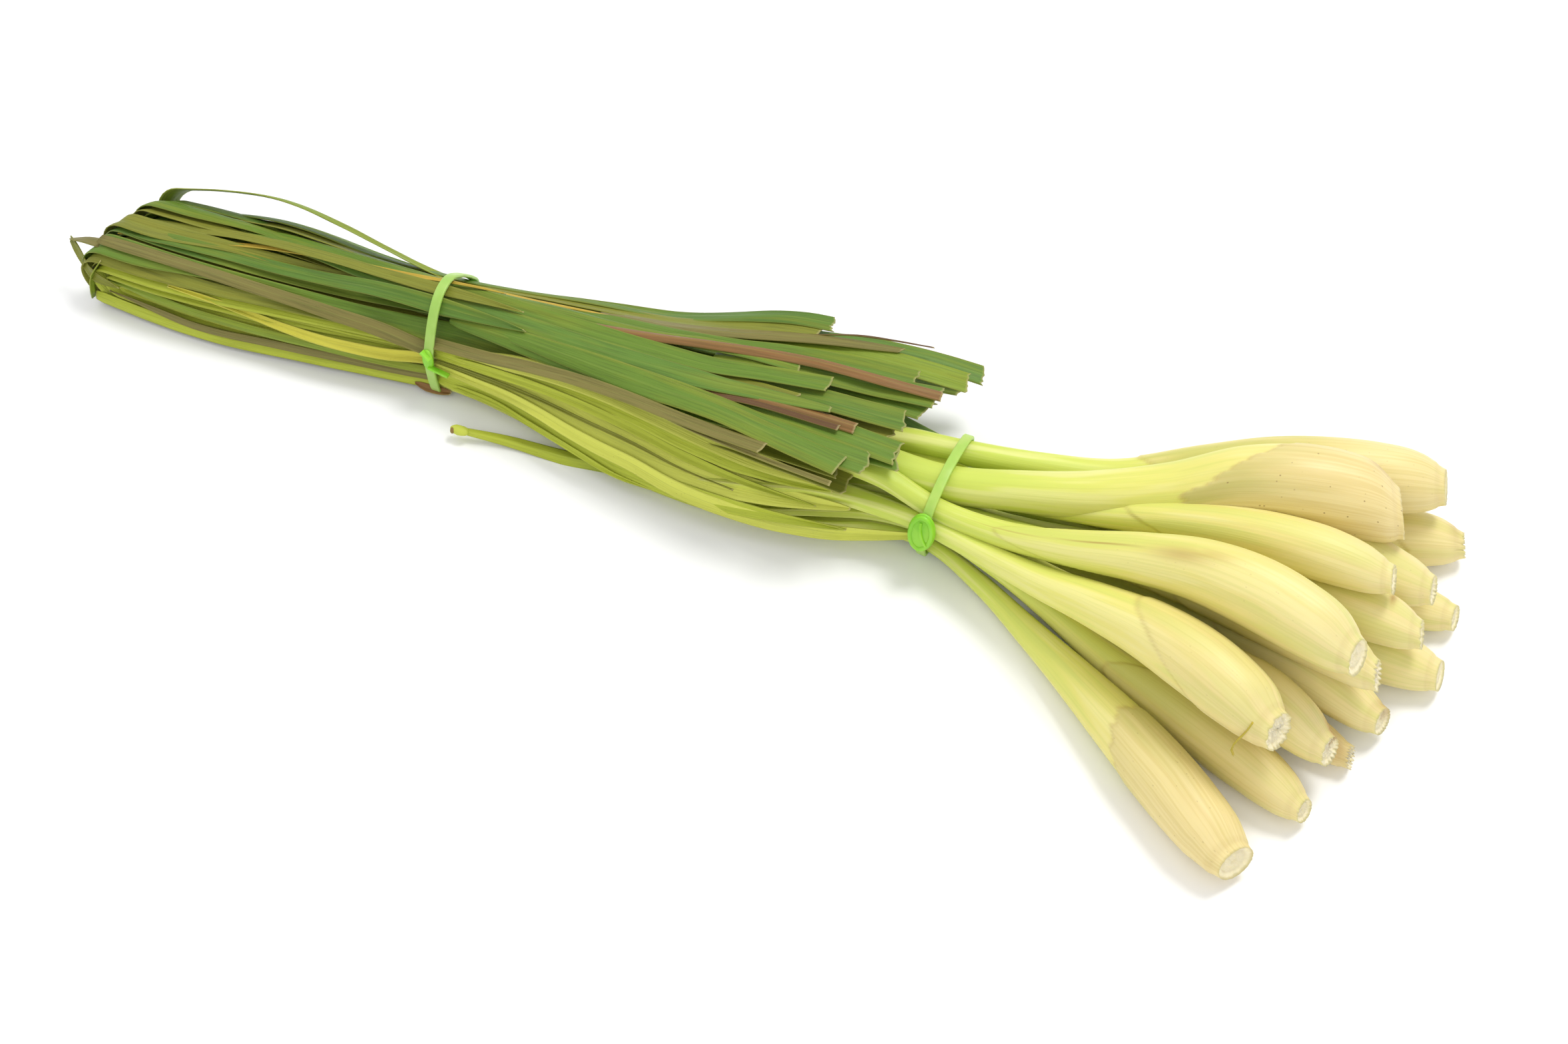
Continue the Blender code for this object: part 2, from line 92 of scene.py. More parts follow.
# One row for each stalk, lowest in the heap first: its number, where its butt lies (x, y),
# bulb radius, neck radius, y at the neck, its column among the leaves, and for each leaf
# blade, upper one first, the x of its cut end, its stray across the column and its width.
STALKS = (
    (3, 180, 82, 8.5, 2.2, 36.6, 3, ((32, 1.0, 8.0), (30, -0.8, 9.0))),
    (8, 183, 32, 8.6, 2.2, 31.2, 2, ((18, 0.9, 9.4), (24, -0.7, 9.4))),
    (13, 167, -3, 5.8, 2.1, 25.9, 1, ((22, 0.5, 9.4), (-10, -1.0, 7.0))),
    (16, 148, -49, 9.1, 2.4, 21.0, 0, ((10, -0.6, 9.4), (26, 0.6, 8.5))),
    (6, 183, 55, 7.2, 2.1, 36.4, 3, ((12, 0.2, 9.4), (-4, 0.9, 9.4))),
    (7, 174, 30, 8.0, 2.1, 31.0, 2, ((30, -1.0, 8.0), (-2, 0.1, 9.4))),
    (11, 172, 10, 7.6, 2.1, 25.7, 1, ((20, -0.6, 9.0), (2, 0.8, 9.4))),
    (15, 160, -25, 7.8, 2.2, 20.4, 0, ((-24, 0.3, 9.0), (14, -0.9, 9.4))),
    (5, 174, 49, 8.5, 2.1, 36.6, 3, ((26, 0.7, 9.4), (8, -0.4, 9.4))),
    (4, 162, 31, 7.4, 2.2, 31.2, 2, ((-14, 0.6, 9.4), (2, -0.2, 9.4))),
    (10, 166, 9, 8.5, 2.2, 25.8, 1, ((-14, 0.0, 9.4), (4, 0.9, 9.4))),
    (12, 161, -11, 8.5, 2.2, 20.6, 0, ((-30, 0.7, 9.0), (-12, 0.0, 9.0))),
    (1, 169, 81, 10.0, 2.8, 38.0, 3, ((0, -0.7, 9.4), (16, 0.4, 9.0))),
    (2, 159, 61, 11.8, 4.8, 32.0, 2, ((-25, 0.5, 9.4), (-8, -0.9, 9.4))),
    (9, 159, -1, 9.4, 3.1, 24.9, 1, ((-28, 0.7, 9.4), (-6, -0.3, 9.4))),
    (14, 147, -22, 9.5, 2.8, 18.9, 0, ((-40, -0.5, 9.4), (-20, 0.9, 9.4))),
)
# How a bulb swells, as (share of the way from its butt to its neck, share of its full
# swelling), and where its rings lie on that way.
BULB_SWELL = ((0.0, 0.36), (0.03, 0.62), (0.08, 0.86), (0.17, 1.0), (0.3, 0.92),
              (0.5, 0.55), (0.7, 0.22), (0.85, 0.06), (1.0, 0.0))
BULB_RINGS = (0.0, 0.025, 0.07, 0.14, 0.24, 0.36, 0.5, 0.66, 0.83, 1.0)

# outlines seen from above, (x, y): leaves going out, and leaves coming back on top of them
GOING_FRONT = ((-262, 3), (-227, 1.5), (-206, 1.5), (-179, 6), (-153, 10), (-131, 15), (-112, 15),
               (-86, 11.5), (-60, 5.5), (-41, 4), (-15, 5), (9, 8), (20, 11), (38, 17))
GOING_BACK = ((-262, 35), (-230, 38), (-200, 41), (-160, 42), (-129, 43), (-100, 44),
              (-60, 43), (-20, 41.5), (38, 40))
BACK_FRONT = ((-262, 3), (-227, 1.5), (-206, 1.5), (-179, 6), (-153, 10), (-128, 15.5),
              (-105, 17), (-80, 14.5), (-55, 12), (-20, 9), (10, 8), (40, 8))
BACK_BACK = ((-262, 35), (-236, 39), (-198, 42), (-171, 42.5), (-150, 43), (-128, 44),
             (-101, 51), (-78, 55), (-46, 61), (-6, 71), (40, 82))
HEAP_X = np.arange(-265.0, 193.0, 5.0)  # where the slices are
HEAP_Y = np.arange(-75.0, 115.0, 0.5)   # and where each is measured
print("slices:", len(HEAP_X), "heights in each:", len(HEAP_Y))


# %% Laying a strand on the heap
def smooth(values, reach):
    """Average each value with its neighbours, keeping the ends."""
    padded = np.pad(values, reach, mode="edge")
    kernel = np.ones(2 * reach + 1) / (2 * reach + 1)
    return np.convolve(padded, kernel, mode="valid")


def cover(values, reach):
    """A smooth line that is nowhere below the values."""
    padded = np.pad(values, reach, mode="edge")
    highest = np.max([padded[i:i + len(values)] for i in range(2 * reach + 1)], axis=0)
    return smooth(highest, reach)


def outline(points):
    """An outline's y in every slice, with its corners rounded."""
    xs, ys = zip(*points)
    return smooth(smooth(np.interp(HEAP_X, xs, ys), 2), 2)


def straight(values, stations):
    """The values in every slice, with straight pieces between the stations."""
    return np.interp(HEAP_X, stations, np.interp(stations, HEAP_X, values))


def span(line, need, stations):
    """The line in straight pieces between the stations, raised where it is below the need."""
    heights = np.interp(stations, HEAP_X, line)
    for k in range(len(stations) - 1):
        piece = (HEAP_X >= stations[k]) & (HEAP_X <= stations[k + 1])
        short = (need - np.interp(HEAP_X, stations, heights))[piece]
        lack = max(short.max(initial=0.0), 0.0)
        heights[k:k + 2] += lack
    return np.interp(HEAP_X, stations, heights)


def settle(heap, y, half_width, half_height, active, roundness, reach, stations,
           lowest=0.0, gap=GAP):
    """Lay one strand on the heap, and return the height of its middle in every slice."""
    aside = np.abs(HEAP_Y[None, :] - y[:, None])
    share = np.clip(aside / half_width[:, None], 0.0, 1.0)
    inside = aside < half_width[:, None]
    body = half_height[:, None] * (1.0 - share ** roundness) ** (1.0 / roundness)
    need = np.where(inside, heap + body, -1.0).max(1) + gap
    need = np.maximum(need, lowest)
    first, last = np.flatnonzero(active)[[0, -1]]
    need[:first] = need[first]
    need[last + 1:] = need[last]
    z = span(cover(need, reach), need, stations)
    covered = inside & active[:, None]
    heap[covered] = np.maximum(heap, z[:, None] + body)[covered]
    return z


# %% [markdown]
# ## Where the strands bend
#
# Stalks and leaves are laid in straight pieces between stations.  The stations lie close
# together where a bulb swells, and further apart along the leaves.

# %% Stations, swelling and smooth steps


def swell(share):
    """Swelling of a bulb at a share of the way from its butt to its neck."""
    shares, sizes = zip(*BULB_SWELL)
    return np.interp(share, shares, sizes)


def ease(x, start, end):
    """A smooth step: 0 at the start, 1 at the end."""
    way = np.clip((x - start) / (end - start), 0.0, 1.0)
    return way * way * (3.0 - 2.0 * way)


def stalk_stations(butt_x):
    """Where a stalk has its rings, from its butt to the open end of its sheath."""
    bulb = [butt_x + (NECK_X - butt_x) * share for share in BULB_RINGS]
    pieces = [NECK_X + (SHEATH_END_X - NECK_X) * k / SHEATH_RINGS
              for k in range(1, SHEATH_RINGS + 1)]
    return bulb + pieces


def going_stations(fold):
    """Where a blade on its way out bends, from its sheath's end to its fold."""
    count = round((SHEATH_END_X - fold) / BLADE_STEP)
    return [SHEATH_END_X + (fold - SHEATH_END_X) * k / count for k in range(1, count + 1)]


def back_stations(fold, end):
    """Where a returning blade bends, from its fold to its cut end."""
    middle = [SHEATH_END_X + BLADE_STEP * k for k in range(-9, 8)]
    middle = [x for x in middle if fold + 0.4 * BLADE_STEP < x < end - 0.4 * BLADE_STEP]
    return [fold] + middle + [end]


print("stations of the first stalk:", [round(x) for x in stalk_stations(STALKS[0][1])])


# %% Laying a stalk, a returning blade and the whole bunch


def lay_stalk(heap, row, fold):
    """Lay a stalk on the heap, from its butt to the fold of its leaves."""
    _, butt_x, butt_y, bulb, neck, neck_y, column, blades = row
    front, back = outline(GOING_FRONT), outline(GOING_BACK)
    pitch = (back - front) / COLUMNS
    left_y = front + (column + 0.5) * pitch
    way = np.clip((HEAP_X - NECK_X) / (butt_x - NECK_X), 0.0, 1.3)
    right_y = neck_y + (butt_y - neck_y) * way ** 1.12
    flat = ease(HEAP_X, NECK_X, NECK_X - FLATTENING)
    y = right_y + (left_y - neck_y) * flat
    y = smooth(smooth(y, 2), 2)
    stations = np.array(sorted(stalk_stations(butt_x) + going_stations(fold)))
    stretch = np.hypot(1.0, np.gradient(y, HEAP_X))
    y = straight(y, stations)
    radius = neck + (bulb - neck) * swell(1.0 - np.clip(way, 0.0, 1.0))
    stack = (len(blades) - 1) * BLADE_PITCH / 2 + BLADE / 2
    leaf_half = np.minimum(pitch / 2 - COLUMN_GAP, SHEATH_HALF)
    half_width = straight((radius * (1 - flat) + leaf_half * flat) * stretch, stations)
    half_height = straight(radius * (1 - flat) + stack * flat, stations)
    active = (HEAP_X >= fold - 4.0) & (HEAP_X <= butt_x + 5.0)
    z = settle(heap, y, half_width, half_height, active, 2.0 + 4.0 * flat[:, None], 2,
               stations, gap=STALK_GAP)
    return {"row": row, "y": y, "half_width": half_width, "half_height": half_height,
            "z": z, "fold": fold, "blades": []}


def lay_blade(heap, strand, level, end):
    """Lay one returning blade on the heap, from its fold to its cut end."""
    end_x, stray, width = end
    front, back = outline(BACK_FRONT), outline(BACK_BACK)
    column = (back - front) / COLUMNS
    drift = stray * (column - width) / 2 * ease(HEAP_X, LEAF_BAND_X, LEAF_BAND_X + 80.0)
    y = front + (strand["row"][6] + 0.5) * column + drift
    offset = ((len(strand["row"][7]) - 1) / 2 - level) * BLADE_PITCH
    stiff = 12.0 * ease(HEAP_X, LEAF_BAND_X, -50.0)
    lowest = np.where(HEAP_X > SHEATH_END_X, 0.0, strand["z"] + offset + 3.0)
    active = (HEAP_X >= strand["fold"] - 8.0) & (HEAP_X <= end_x + 6.0)
    filled = ease(HEAP_X, -60.0, LEAF_BAND_X)
    half_width = width / 2 + (column / 2 - COLUMN_GAP - width / 2) * filled
    half_height = np.full(len(HEAP_X), BLADE / 2)
    stations = back_stations(strand["fold"], end_x)
    y = straight(y, stations)
    half_width = straight(half_width, stations)
    z = settle(heap, y, half_width, half_height, active, 40.0, 3, stations,
               np.maximum(lowest, stiff))
    return {"y": y, "z": z, "half": half_width, "end": end_x, "offset": offset}


def lay_out():
    """Pile up every stalk and blade.  Returns the strands and the heap of slices."""
    rest = BAND_REST * np.exp(-((HEAP_X - NECK_X) / 12.0) ** 4)
    rest += BAND_REST * np.exp(-((HEAP_X - LEAF_BAND_X) / 18.0) ** 4)
    heap = np.repeat(rest[:, None] - STALK_GAP, len(HEAP_Y), axis=1)
    strands = []
    for place, row in enumerate(STALKS):
        fold = FOLD_X - FOLD_STAGGER * (1.0 - place / (len(STALKS) - 1))
        strands.append(lay_stalk(heap, row, fold))
    for strand in reversed(strands):
        for level, end in enumerate(strand["row"][7]):
            strand["blades"].append(lay_blade(heap, strand, level, end))
    topmost = strands[0]["blades"][-1]
    topmost["z"] += ARCH * ease(HEAP_X, -130.0, -175.0) * ease(HEAP_X, -243.0, -205.0)
    return strands, heap


# %% From the heap to the scene


def at(values, x):
    """A line's value at one x."""
    return float(np.interp(x, HEAP_X, values))


# the front and back sides of the heap
FRONT_LINE, BACK_LINE = outline(GOING_FRONT), outline(BACK_BACK)


def to_scene(x, y, z, lowest=0.0):
    """Round the heap's sides, slant its folded end, and go from millimetres to metres."""
    x, y, z = np.broadcast_arrays(x, y, z)
    front, back = np.interp(x, HEAP_X, FRONT_LINE), np.interp(x, HEAP_X, BACK_LINE)
    aside = np.minimum(np.abs(y - (front + back) / 2) / ((back - front) / 2), 1.1)
    z = np.maximum(z * (1.0 - DROOP * ease(x, -20.0, -70.0) * aside * aside), lowest)
    x = x + FOLD_SKEW * ease(x, -140.0, -240.0) * (y - 22.0)
    return np.stack((x - CENTRE[0], y - CENTRE[1], z), axis=-1) * MM


# %% Smooth curves


def smooth_line(values, run, where):
    """A smooth curve through values given along a run."""
    slopes = np.gradient(values, run)
    k = np.clip(np.searchsorted(run, where) - 1, 0, len(run) - 2)
    width = run[k + 1] - run[k]
    t = (where - run[k]) / width
    return ((1 + 2 * t) * (1 - t) ** 2 * values[k] + t * (1 - t) ** 2 * width * slopes[k]
            + t * t * (3 - 2 * t) * values[k + 1] + t * t * (t - 1) * width * slopes[k + 1])


def through(values, stations, x):
    """A smooth curve through a line's values at its stations, read at each x."""
    stations = np.sort(np.asarray(stations, float))
    heights = np.interp(stations, HEAP_X, values)
    return smooth_line(heights, stations, np.clip(x, stations[0], stations[-1]))


def run_along(points):
    """How far along a row of points each of them lies."""
    return np.concatenate(([0.0], np.cumsum(np.linalg.norm(np.diff(points, axis=0), axis=1))))


# %% [markdown]
# ## Pressing the necks together
#
# The heap's rule spreads the necks of the topmost stalks evenly.  Really the thickest pair
# lies side by side, pressed into the others by the band.

# %% Lay the bunch and press its necks
# For each stalk: shift in y and z and growth at its neck, where that has faded out, and shift
# in y and z at its butt.
PRESSED = {1: (2.5, 1.0, 1.2, 165, 1.5, 1.5), 2: (-5.0, -4.0, 0.8, 130, -4.5, -4.0),
           9: (-5.5, -4.0, 0.4, 130, 0.0, 0.0), 14: (-2.0, -5.0, 0.3, 120, 0.0, 0.0)}


def press(strand, neck_y, neck_z, growth, far, butt_y, butt_z):
    """Move a stalk at its neck and at its butt, and thicken its neck."""
    at_neck = ease(HEAP_X, -10.0, 34.0) * ease(HEAP_X, far, far - 70.0)
    at_butt = ease(HEAP_X, 60.0, 130.0)
    strand["y"] = strand["y"] + neck_y * at_neck + butt_y * at_butt
    strand["z"] = strand["z"] + neck_z * at_neck + butt_z * at_butt
    for key in ("half_width", "half_height"):
        strand[key] = strand[key] + growth * at_neck


strands, heap = lay_out()
BY_NUMBER = {strand["row"][0]: strand for strand in strands}
for number, amounts in PRESSED.items():
    press(BY_NUMBER[number], *amounts)
print("strands laid:", len(strands), "top of the heap: %.1f mm" % heap.max())

# %% [markdown]
# ## Tools for building node trees
#
# Materials and geometry are both made of nodes here.  Small helpers keep the trees short:
# they add a node and fill its inputs, open a group with named sockets, and mix colours.

# %% Node helpers
RELIEF = 0.0003                 # depth of the finest relief, in metres


def fill(tree, node, inputs):
    """Give each of a node's inputs a value, or a socket to link from."""
    for key, value in inputs.items():
        if isinstance(value, bpy.types.NodeSocket):
            tree.links.new(value, node.inputs[key])
        else:
            node.inputs[key].default_value = value


def put(tree, kind, inputs=None, **settings):
    """Add a node with its settings and its inputs."""
    node = tree.nodes.new(kind)
    for name, value in settings.items():
        setattr(node, name, value)
    fill(tree, node, inputs or {})
    return node


def open_group(name, kind, inputs, outputs):
    """A new node group.  Sockets are (name, type, default) and (name, type)."""
    group = bpy.data.node_groups.new(name, kind)
    for label, socket, default in inputs:
        made = group.interface.new_socket(label, in_out="INPUT", socket_type=socket)
        if default is not None:
            made.default_value = default
    for label, socket in outputs:
        group.interface.new_socket(label, in_out="OUTPUT", socket_type=socket)
    return group, group.nodes.new("NodeGroupInput"), group.nodes.new("NodeGroupOutput")


def open_tree(name, sizes):
    """A new geometry tree.  Its inputs are a geometry, the given sizes and a material."""
    tree, given, result = open_group(
        name, "GeometryNodeTree",
        [("Geometry", "NodeSocketGeometry", None),
         *((label, "NodeSocketFloat", size) for label, size in sizes.items()),
         ("Material", "NodeSocketMaterial", None)],
        [("Geometry", "NodeSocketGeometry")])
    tree.is_modifier = True
    return tree, given.outputs, result


def close_tree(tree, given, result, geometry):
    """Shade a tree's geometry smooth, realise it, give it its material and hand it out."""
    shaded = put(tree, "GeometryNodeSetShadeSmooth", {"Geometry": geometry})
    realised = put(tree, "GeometryNodeRealizeInstances", {"Geometry": shaded.outputs[0]})
    dressed = put(tree, "GeometryNodeSetMaterial",
                  {"Geometry": realised.outputs[0], "Material": given["Material"]})
    fill(tree, result, {"Geometry": dressed.outputs[0]})
    return tree


def maths(tree, operation, first, second=0.0):
    return put(tree, "ShaderNodeMath", {0: first, 1: second}, operation=operation).outputs[0]


def step(tree, value, low, high, out_low=0.0, out_high=1.0):
    """A smooth step of a value between two limits."""
    node = put(tree, "ShaderNodeMapRange", {0: value, 1: low, 2: high, 3: out_low, 4: out_high},
               interpolation_type="SMOOTHSTEP")
    return node.outputs[0]


def attribute(tree, name, output="Fac"):
    """What a material reads from its mesh."""
    return put(tree, "ShaderNodeAttribute", attribute_name=name).outputs[output]


def ramp(tree, value, stops):
    """A colour ramp through (position, colour) stops."""
    node = put(tree, "ShaderNodeValToRGB", {0: value})
    elements = node.color_ramp.elements
    while len(elements) < len(stops):
        elements.new(0.5)
    for element, (position, colour) in zip(elements, stops):
        element.position = position
        element.color = colour
    return node.outputs["Color"]


def layered(tree, colour, layers):
    """A colour with others laid over it, one after another, as (share, colour)."""
    for share, over in layers:
        node = put(tree, "ShaderNodeMix", {0: share, 6: colour, 7: over}, data_type="RGBA")
        colour = node.outputs[2]
    return colour


def srgb(red, green, blue):
    """A colour given in screen values from 0 to 255, as linear values with alpha."""
    linear = []
    for value in (red, green, blue):
        value /= 255.0
        linear.append(value / 12.92 if value <= 0.04045 else ((value + 0.055) / 1.055) ** 2.4)
    return (*linear, 1.0)


def new_material(name):
    """A new material, its node tree and its shader."""
    material = bpy.data.materials.new(name)
    material.use_nodes = True
    return material, material.node_tree, material.node_tree.nodes["Principled BSDF"]


def finish_skin(tree, shader, colour, relief, strength, settings):
    """Give a shader its colour, its relief and its other settings."""
    bump = put(tree, "ShaderNodeBump",
               {"Strength": strength, "Distance": RELIEF, "Height": relief})
    fill(tree, shader, {"Base Color": colour, "Normal": bump.outputs["Normal"], **settings})


def new_object(name, data):
    """An object of the data, linked to the scene."""
    obj = bpy.data.objects.new(name, data)
    bpy.context.scene.collection.objects.link(obj)
    return obj


# %% [markdown]
# ## Light, floor and camera
#
# A soft studio: a wide light behind and above the bunch draws its soft shadow towards the
# viewer, and two weaker ones fill the front.  The floor is plain and pale.

# %% The floor, the lights and the camera
CAMERA_AZIMUTH = 25.0
CAMERA_ELEVATION = 50.0
CAMERA_DISTANCE = 0.501
CAMERA_LENS = 40.0
CAMERA_TARGET = Vector((0.0375, -0.0162, 0.015))
FLOOR_HALF = 4.0                # half the floor's side, in metres
FLOOR_DROP = 0.0002             # the floor lies this far under the bunch
ROOM_BRIGHTNESS = 0.72
# For each light: where it is, its size and its power.
LIGHTS = {"key": ((0.3, 0.45, 1.1), 0.45, 7.4), "front": ((0.35, -1.0, 0.9), 1.0, 3.0),
          "left": ((-0.9, 0.1, 0.8), 0.8, 2.0)}


def add_floor():
    half = FLOOR_HALF
    mesh = bpy.data.meshes.new("floor")
    mesh.from_pydata([(-half, -half, 0), (half, -half, 0), (half, half, 0), (-half, half, 0)],
                     [], [(0, 1, 2, 3)])
    material, tree, shader = new_material("floor_white")
    fill(tree, shader, {"Base Color": (0.97, 0.97, 0.97, 1.0), "Roughness": 0.9})
    mesh.materials.append(material)
    floor = new_object("floor", mesh)
    floor.location.z = -FLOOR_DROP


def aim(obj, place, direction):
    """Put a light or a camera in its place, looking in a direction."""
    obj.location = place
    obj.rotation_euler = direction.to_track_quat("-Z", "Y").to_euler()


def add_light(name, place, size, watts):
    light = bpy.data.lights.new(name, "AREA")
    light.shape = "DISK"
    light.size = size
    light.energy = watts
    aim(new_object(name, light), place, CAMERA_TARGET - Vector(place))


def add_camera():
    azimuth, elevation = math.radians(CAMERA_AZIMUTH), math.radians(CAMERA_ELEVATION)
    back = Vector((math.sin(azimuth) * math.cos(elevation),
                   -math.cos(azimuth) * math.cos(elevation), math.sin(elevation)))
    camera = bpy.data.cameras.new("camera")
    camera.lens = CAMERA_LENS
    camera.sensor_width = 36.0
    camera.clip_start = 0.01
    obj = new_object("camera", camera)
    aim(obj, CAMERA_TARGET + back * CAMERA_DISTANCE, -back)
    bpy.context.scene.camera = obj


def light_the_room():
    world = bpy.data.worlds.new("studio")
    world.use_nodes = True
    fill(world.node_tree, world.node_tree.nodes["Background"],
         {"Color": (1.0, 1.0, 1.0, 1.0), "Strength": ROOM_BRIGHTNESS})
    bpy.context.scene.world = world


add_floor()
for name, (place, size, watts) in LIGHTS.items():
    add_light(name, place, size, watts)
light_the_room()
add_camera()
bpy.context.scene.view_settings.view_transform = "Standard"
print("lights:", list(LIGHTS), "camera:", bpy.context.scene.camera.name)

# %% [markdown]
# ## Fibres
#
# Every part of the plant is drawn out along its length: fine parallel veins, and soft patches
# that are many times longer than they are wide.  Each mesh carries an attribute, `grain`,
# whose first two numbers go round or across the part and whose third runs along it.  One
# group turns that into veins, patches and specks, and every plant material uses it.

# %% The shared group of fibres
SPECK_COUNT = 9.0
SPECK_LENGTH = 14.0


def stretched(group, parts, across, along):
    """The grain's three numbers, scaled across and along the plant."""
    scaled = [maths(group, "MULTIPLY", part, scale)
              for part, scale in zip(parts.outputs, (across, across, along))]
    return put(group, "ShaderNodeCombineXYZ", dict(enumerate(scaled))).outputs[0]


def make_fibres():
    group, given, result = open_group(
        "plant_fibres", "ShaderNodeTree",
        [("Grain", "NodeSocketVector", None), ("Vein Count", "NodeSocketFloat", 10.0),
         ("Vein Length", "NodeSocketFloat", 3.0), ("Patch Count", "NodeSocketFloat", 1.5),
         ("Patch Length", "NodeSocketFloat", 20.0)],
        [(label, "NodeSocketFloat") for label in ("Veins", "Patches", "Specks")])
    given = given.outputs
    parts = put(group, "ShaderNodeSeparateXYZ", {0: given["Grain"]})
    for label, kind, detail in (("Veins", "Vein", 3.0), ("Patches", "Patch", 2.0)):
        place = stretched(group, parts, given[kind + " Count"], given[kind + " Length"])
        noise = put(group, "ShaderNodeTexNoise",
                    {"Vector": place, "Scale": 1.0, "Detail": detail, "Roughness": 0.55})
        fill(group, result, {label: step(group, noise.outputs["Fac"], 0.3, 0.7)})
    cells = put(group, "ShaderNodeTexVoronoi",
                {"Vector": stretched(group, parts, SPECK_COUNT, SPECK_LENGTH), "Scale": 1.0})
    dot = step(group, cells.outputs["Distance"], 0.24, 0.1)
    rare = put(group, "ShaderNodeSeparateColor", {0: cells.outputs["Color"]})
    rare = step(group, rare.outputs[0], 0.84, 0.92)
    fill(group, result, {"Specks": maths(group, "MULTIPLY", dot, rare)})
    return group


FIBRES = make_fibres()
print("shared group:", FIBRES.name, [item.name for item in FIBRES.interface.items_tree])


def fibres(tree, count, length, patch_count, patch_length):
    """The fibres' veins, patches and specks, for one material."""
    node = put(tree, "ShaderNodeGroup",
               {"Grain": attribute(tree, "grain", "Vector"), "Vein Count": count,
                "Vein Length": length, "Patch Count": patch_count,
                "Patch Length": patch_length}, node_tree=FIBRES)
    return node.outputs


# %% [markdown]
# ## The skin of a stalk
#
# A stalk is cream at its butt and turns yellow-green at its neck.  Its outermost sheath has
# often dried to a tan, papery skin that stops at a slanting torn edge.  The mesh says where
# these things are, and the material gives them their colours.

# %% Stalk material


def make_stalk_skin():
    material, tree, shader = new_material("stalk_skin")
    made = fibres(tree, 11.0, 0.45, 1.3, 0.4)
    veins, patches = made["Veins"], made["Patches"]
    freshness, dry, crease_shade, rim, cut, stain, specks = (
        attribute(tree, name)
        for name in ("freshness", "dry", "crease_shade", "rim", "cut", "stain", "specks"))
    fresh = ramp(tree, freshness, (
        (0.0, srgb(232, 216, 154)), (0.2, srgb(230, 216, 130)), (0.4, srgb(223, 219, 112)),
        (0.6, srgb(207, 216, 94)), (0.8, srgb(192, 208, 76)), (1.0, srgb(198, 205, 82))))
    smear = maths(tree, "MULTIPLY", step(tree, freshness, 0.06, 0.32),
                  step(tree, patches, 0.1, 0.8, 0.35, 0.8))
    papery = layered(tree, srgb(231, 211, 150), (
        (step(tree, veins, 0.2, 0.9), srgb(222, 199, 134)), (smear, srgb(180, 174, 92))))
    pith = layered(tree, srgb(252, 243, 210), ((veins, srgb(236, 220, 172)),))
    # greener patches, paler patches and veins, then whatever the mesh says
    colour = layered(tree, fresh, (
        (step(tree, patches, 0.35, 1.0, 0.0, 0.32), srgb(190, 208, 84)),
        (step(tree, patches, 0.5, 0.0, 0.0, 0.4), srgb(238, 230, 166)),
        (step(tree, veins, 0.5, 1.0, 0.0, 0.16), srgb(184, 194, 88)),
        (dry, papery),
        # painted shade: the troughs of a flattened sheath's soft folds are darkened
        (maths(tree, "MULTIPLY", crease_shade, 0.7), srgb(148, 158, 44)),
        (maths(tree, "MULTIPLY", rim, 0.5), srgb(188, 158, 92)),
        (cut, pith),
        (stain, srgb(164, 122, 52)),
        (maths(tree, "MULTIPLY", made["Specks"], specks), srgb(140, 108, 62))))
    finish_skin(tree, shader, colour, veins, 0.12, {
        "Roughness": step(tree, cut, 0.0, 1.0, 0.5, 0.85),
        "Subsurface Weight": 0.22, "Subsurface Radius": (1.0, 0.85, 0.3),
        "Subsurface Scale": 0.003, "Coat Weight": 0.06, "Coat Roughness": 0.35})
    return material


STALK_SKIN = make_stalk_skin()
print("material:", STALK_SKIN.name)

# %% [markdown]
# ## Lofting a stalk
#
# A stalk is a tube whose round section flattens where it turns into leaves.  Its rings sit
# on the strand's line.  Two details are modelled, not painted: the outer sheath ends in a
# slanting torn edge a little proud of the sheath beneath, and the cut butt is a rough face
# with the rings of the sheaths showing.

# %% Stalk dimensions and its sheaths
STALK_SIDES = 80                # points in each ring
BULB_STEP = 0.7                 # from ring to ring of a bulb, in millimetres
SHEATH_STEP = 2.0               # and past its neck
FACE_RINGS = 9                  # steps from the rim of the cut face to its middle
SHEATH_STEP_UP = 0.4            # how far an outer sheath stands proud
SKIN_LENGTH = 0.02              # one unit of grain along the stalk, in metres
FACE_FADE = 25.0                # the slant of the cut fades out over this much of the butt
CUT_BACK = 0.32                 # how far the cut leans back, as a slope
BUTT_ROUND = 0.16               # how much the butt's rounded end draws in
BUTT_BEND = 7.0                 # and how long that end is
BUTT_CORE = 2.6                 # the last sheaths stop this far short of the cut
BUTT_STEP = 0.35                # and are this thick
FRAY = 4.0                      # the frayed edge of the cut is this long
FOLD_DEEP = 0.38                # how deep the soft folds of a flattened sheath are
MARK_TWIST = 0.16               # marks turn by this many degrees for each millimetre
SKIN_MASKS = ("freshness", "dry", "rim", "crease_shade", "stain", "specks", "cut")
ANGLE = 2 * np.pi * np.arange(STALK_SIDES) / STALK_SIDES
COSINE, SINE = np.cos(ANGLE), np.sin(ANGLE)

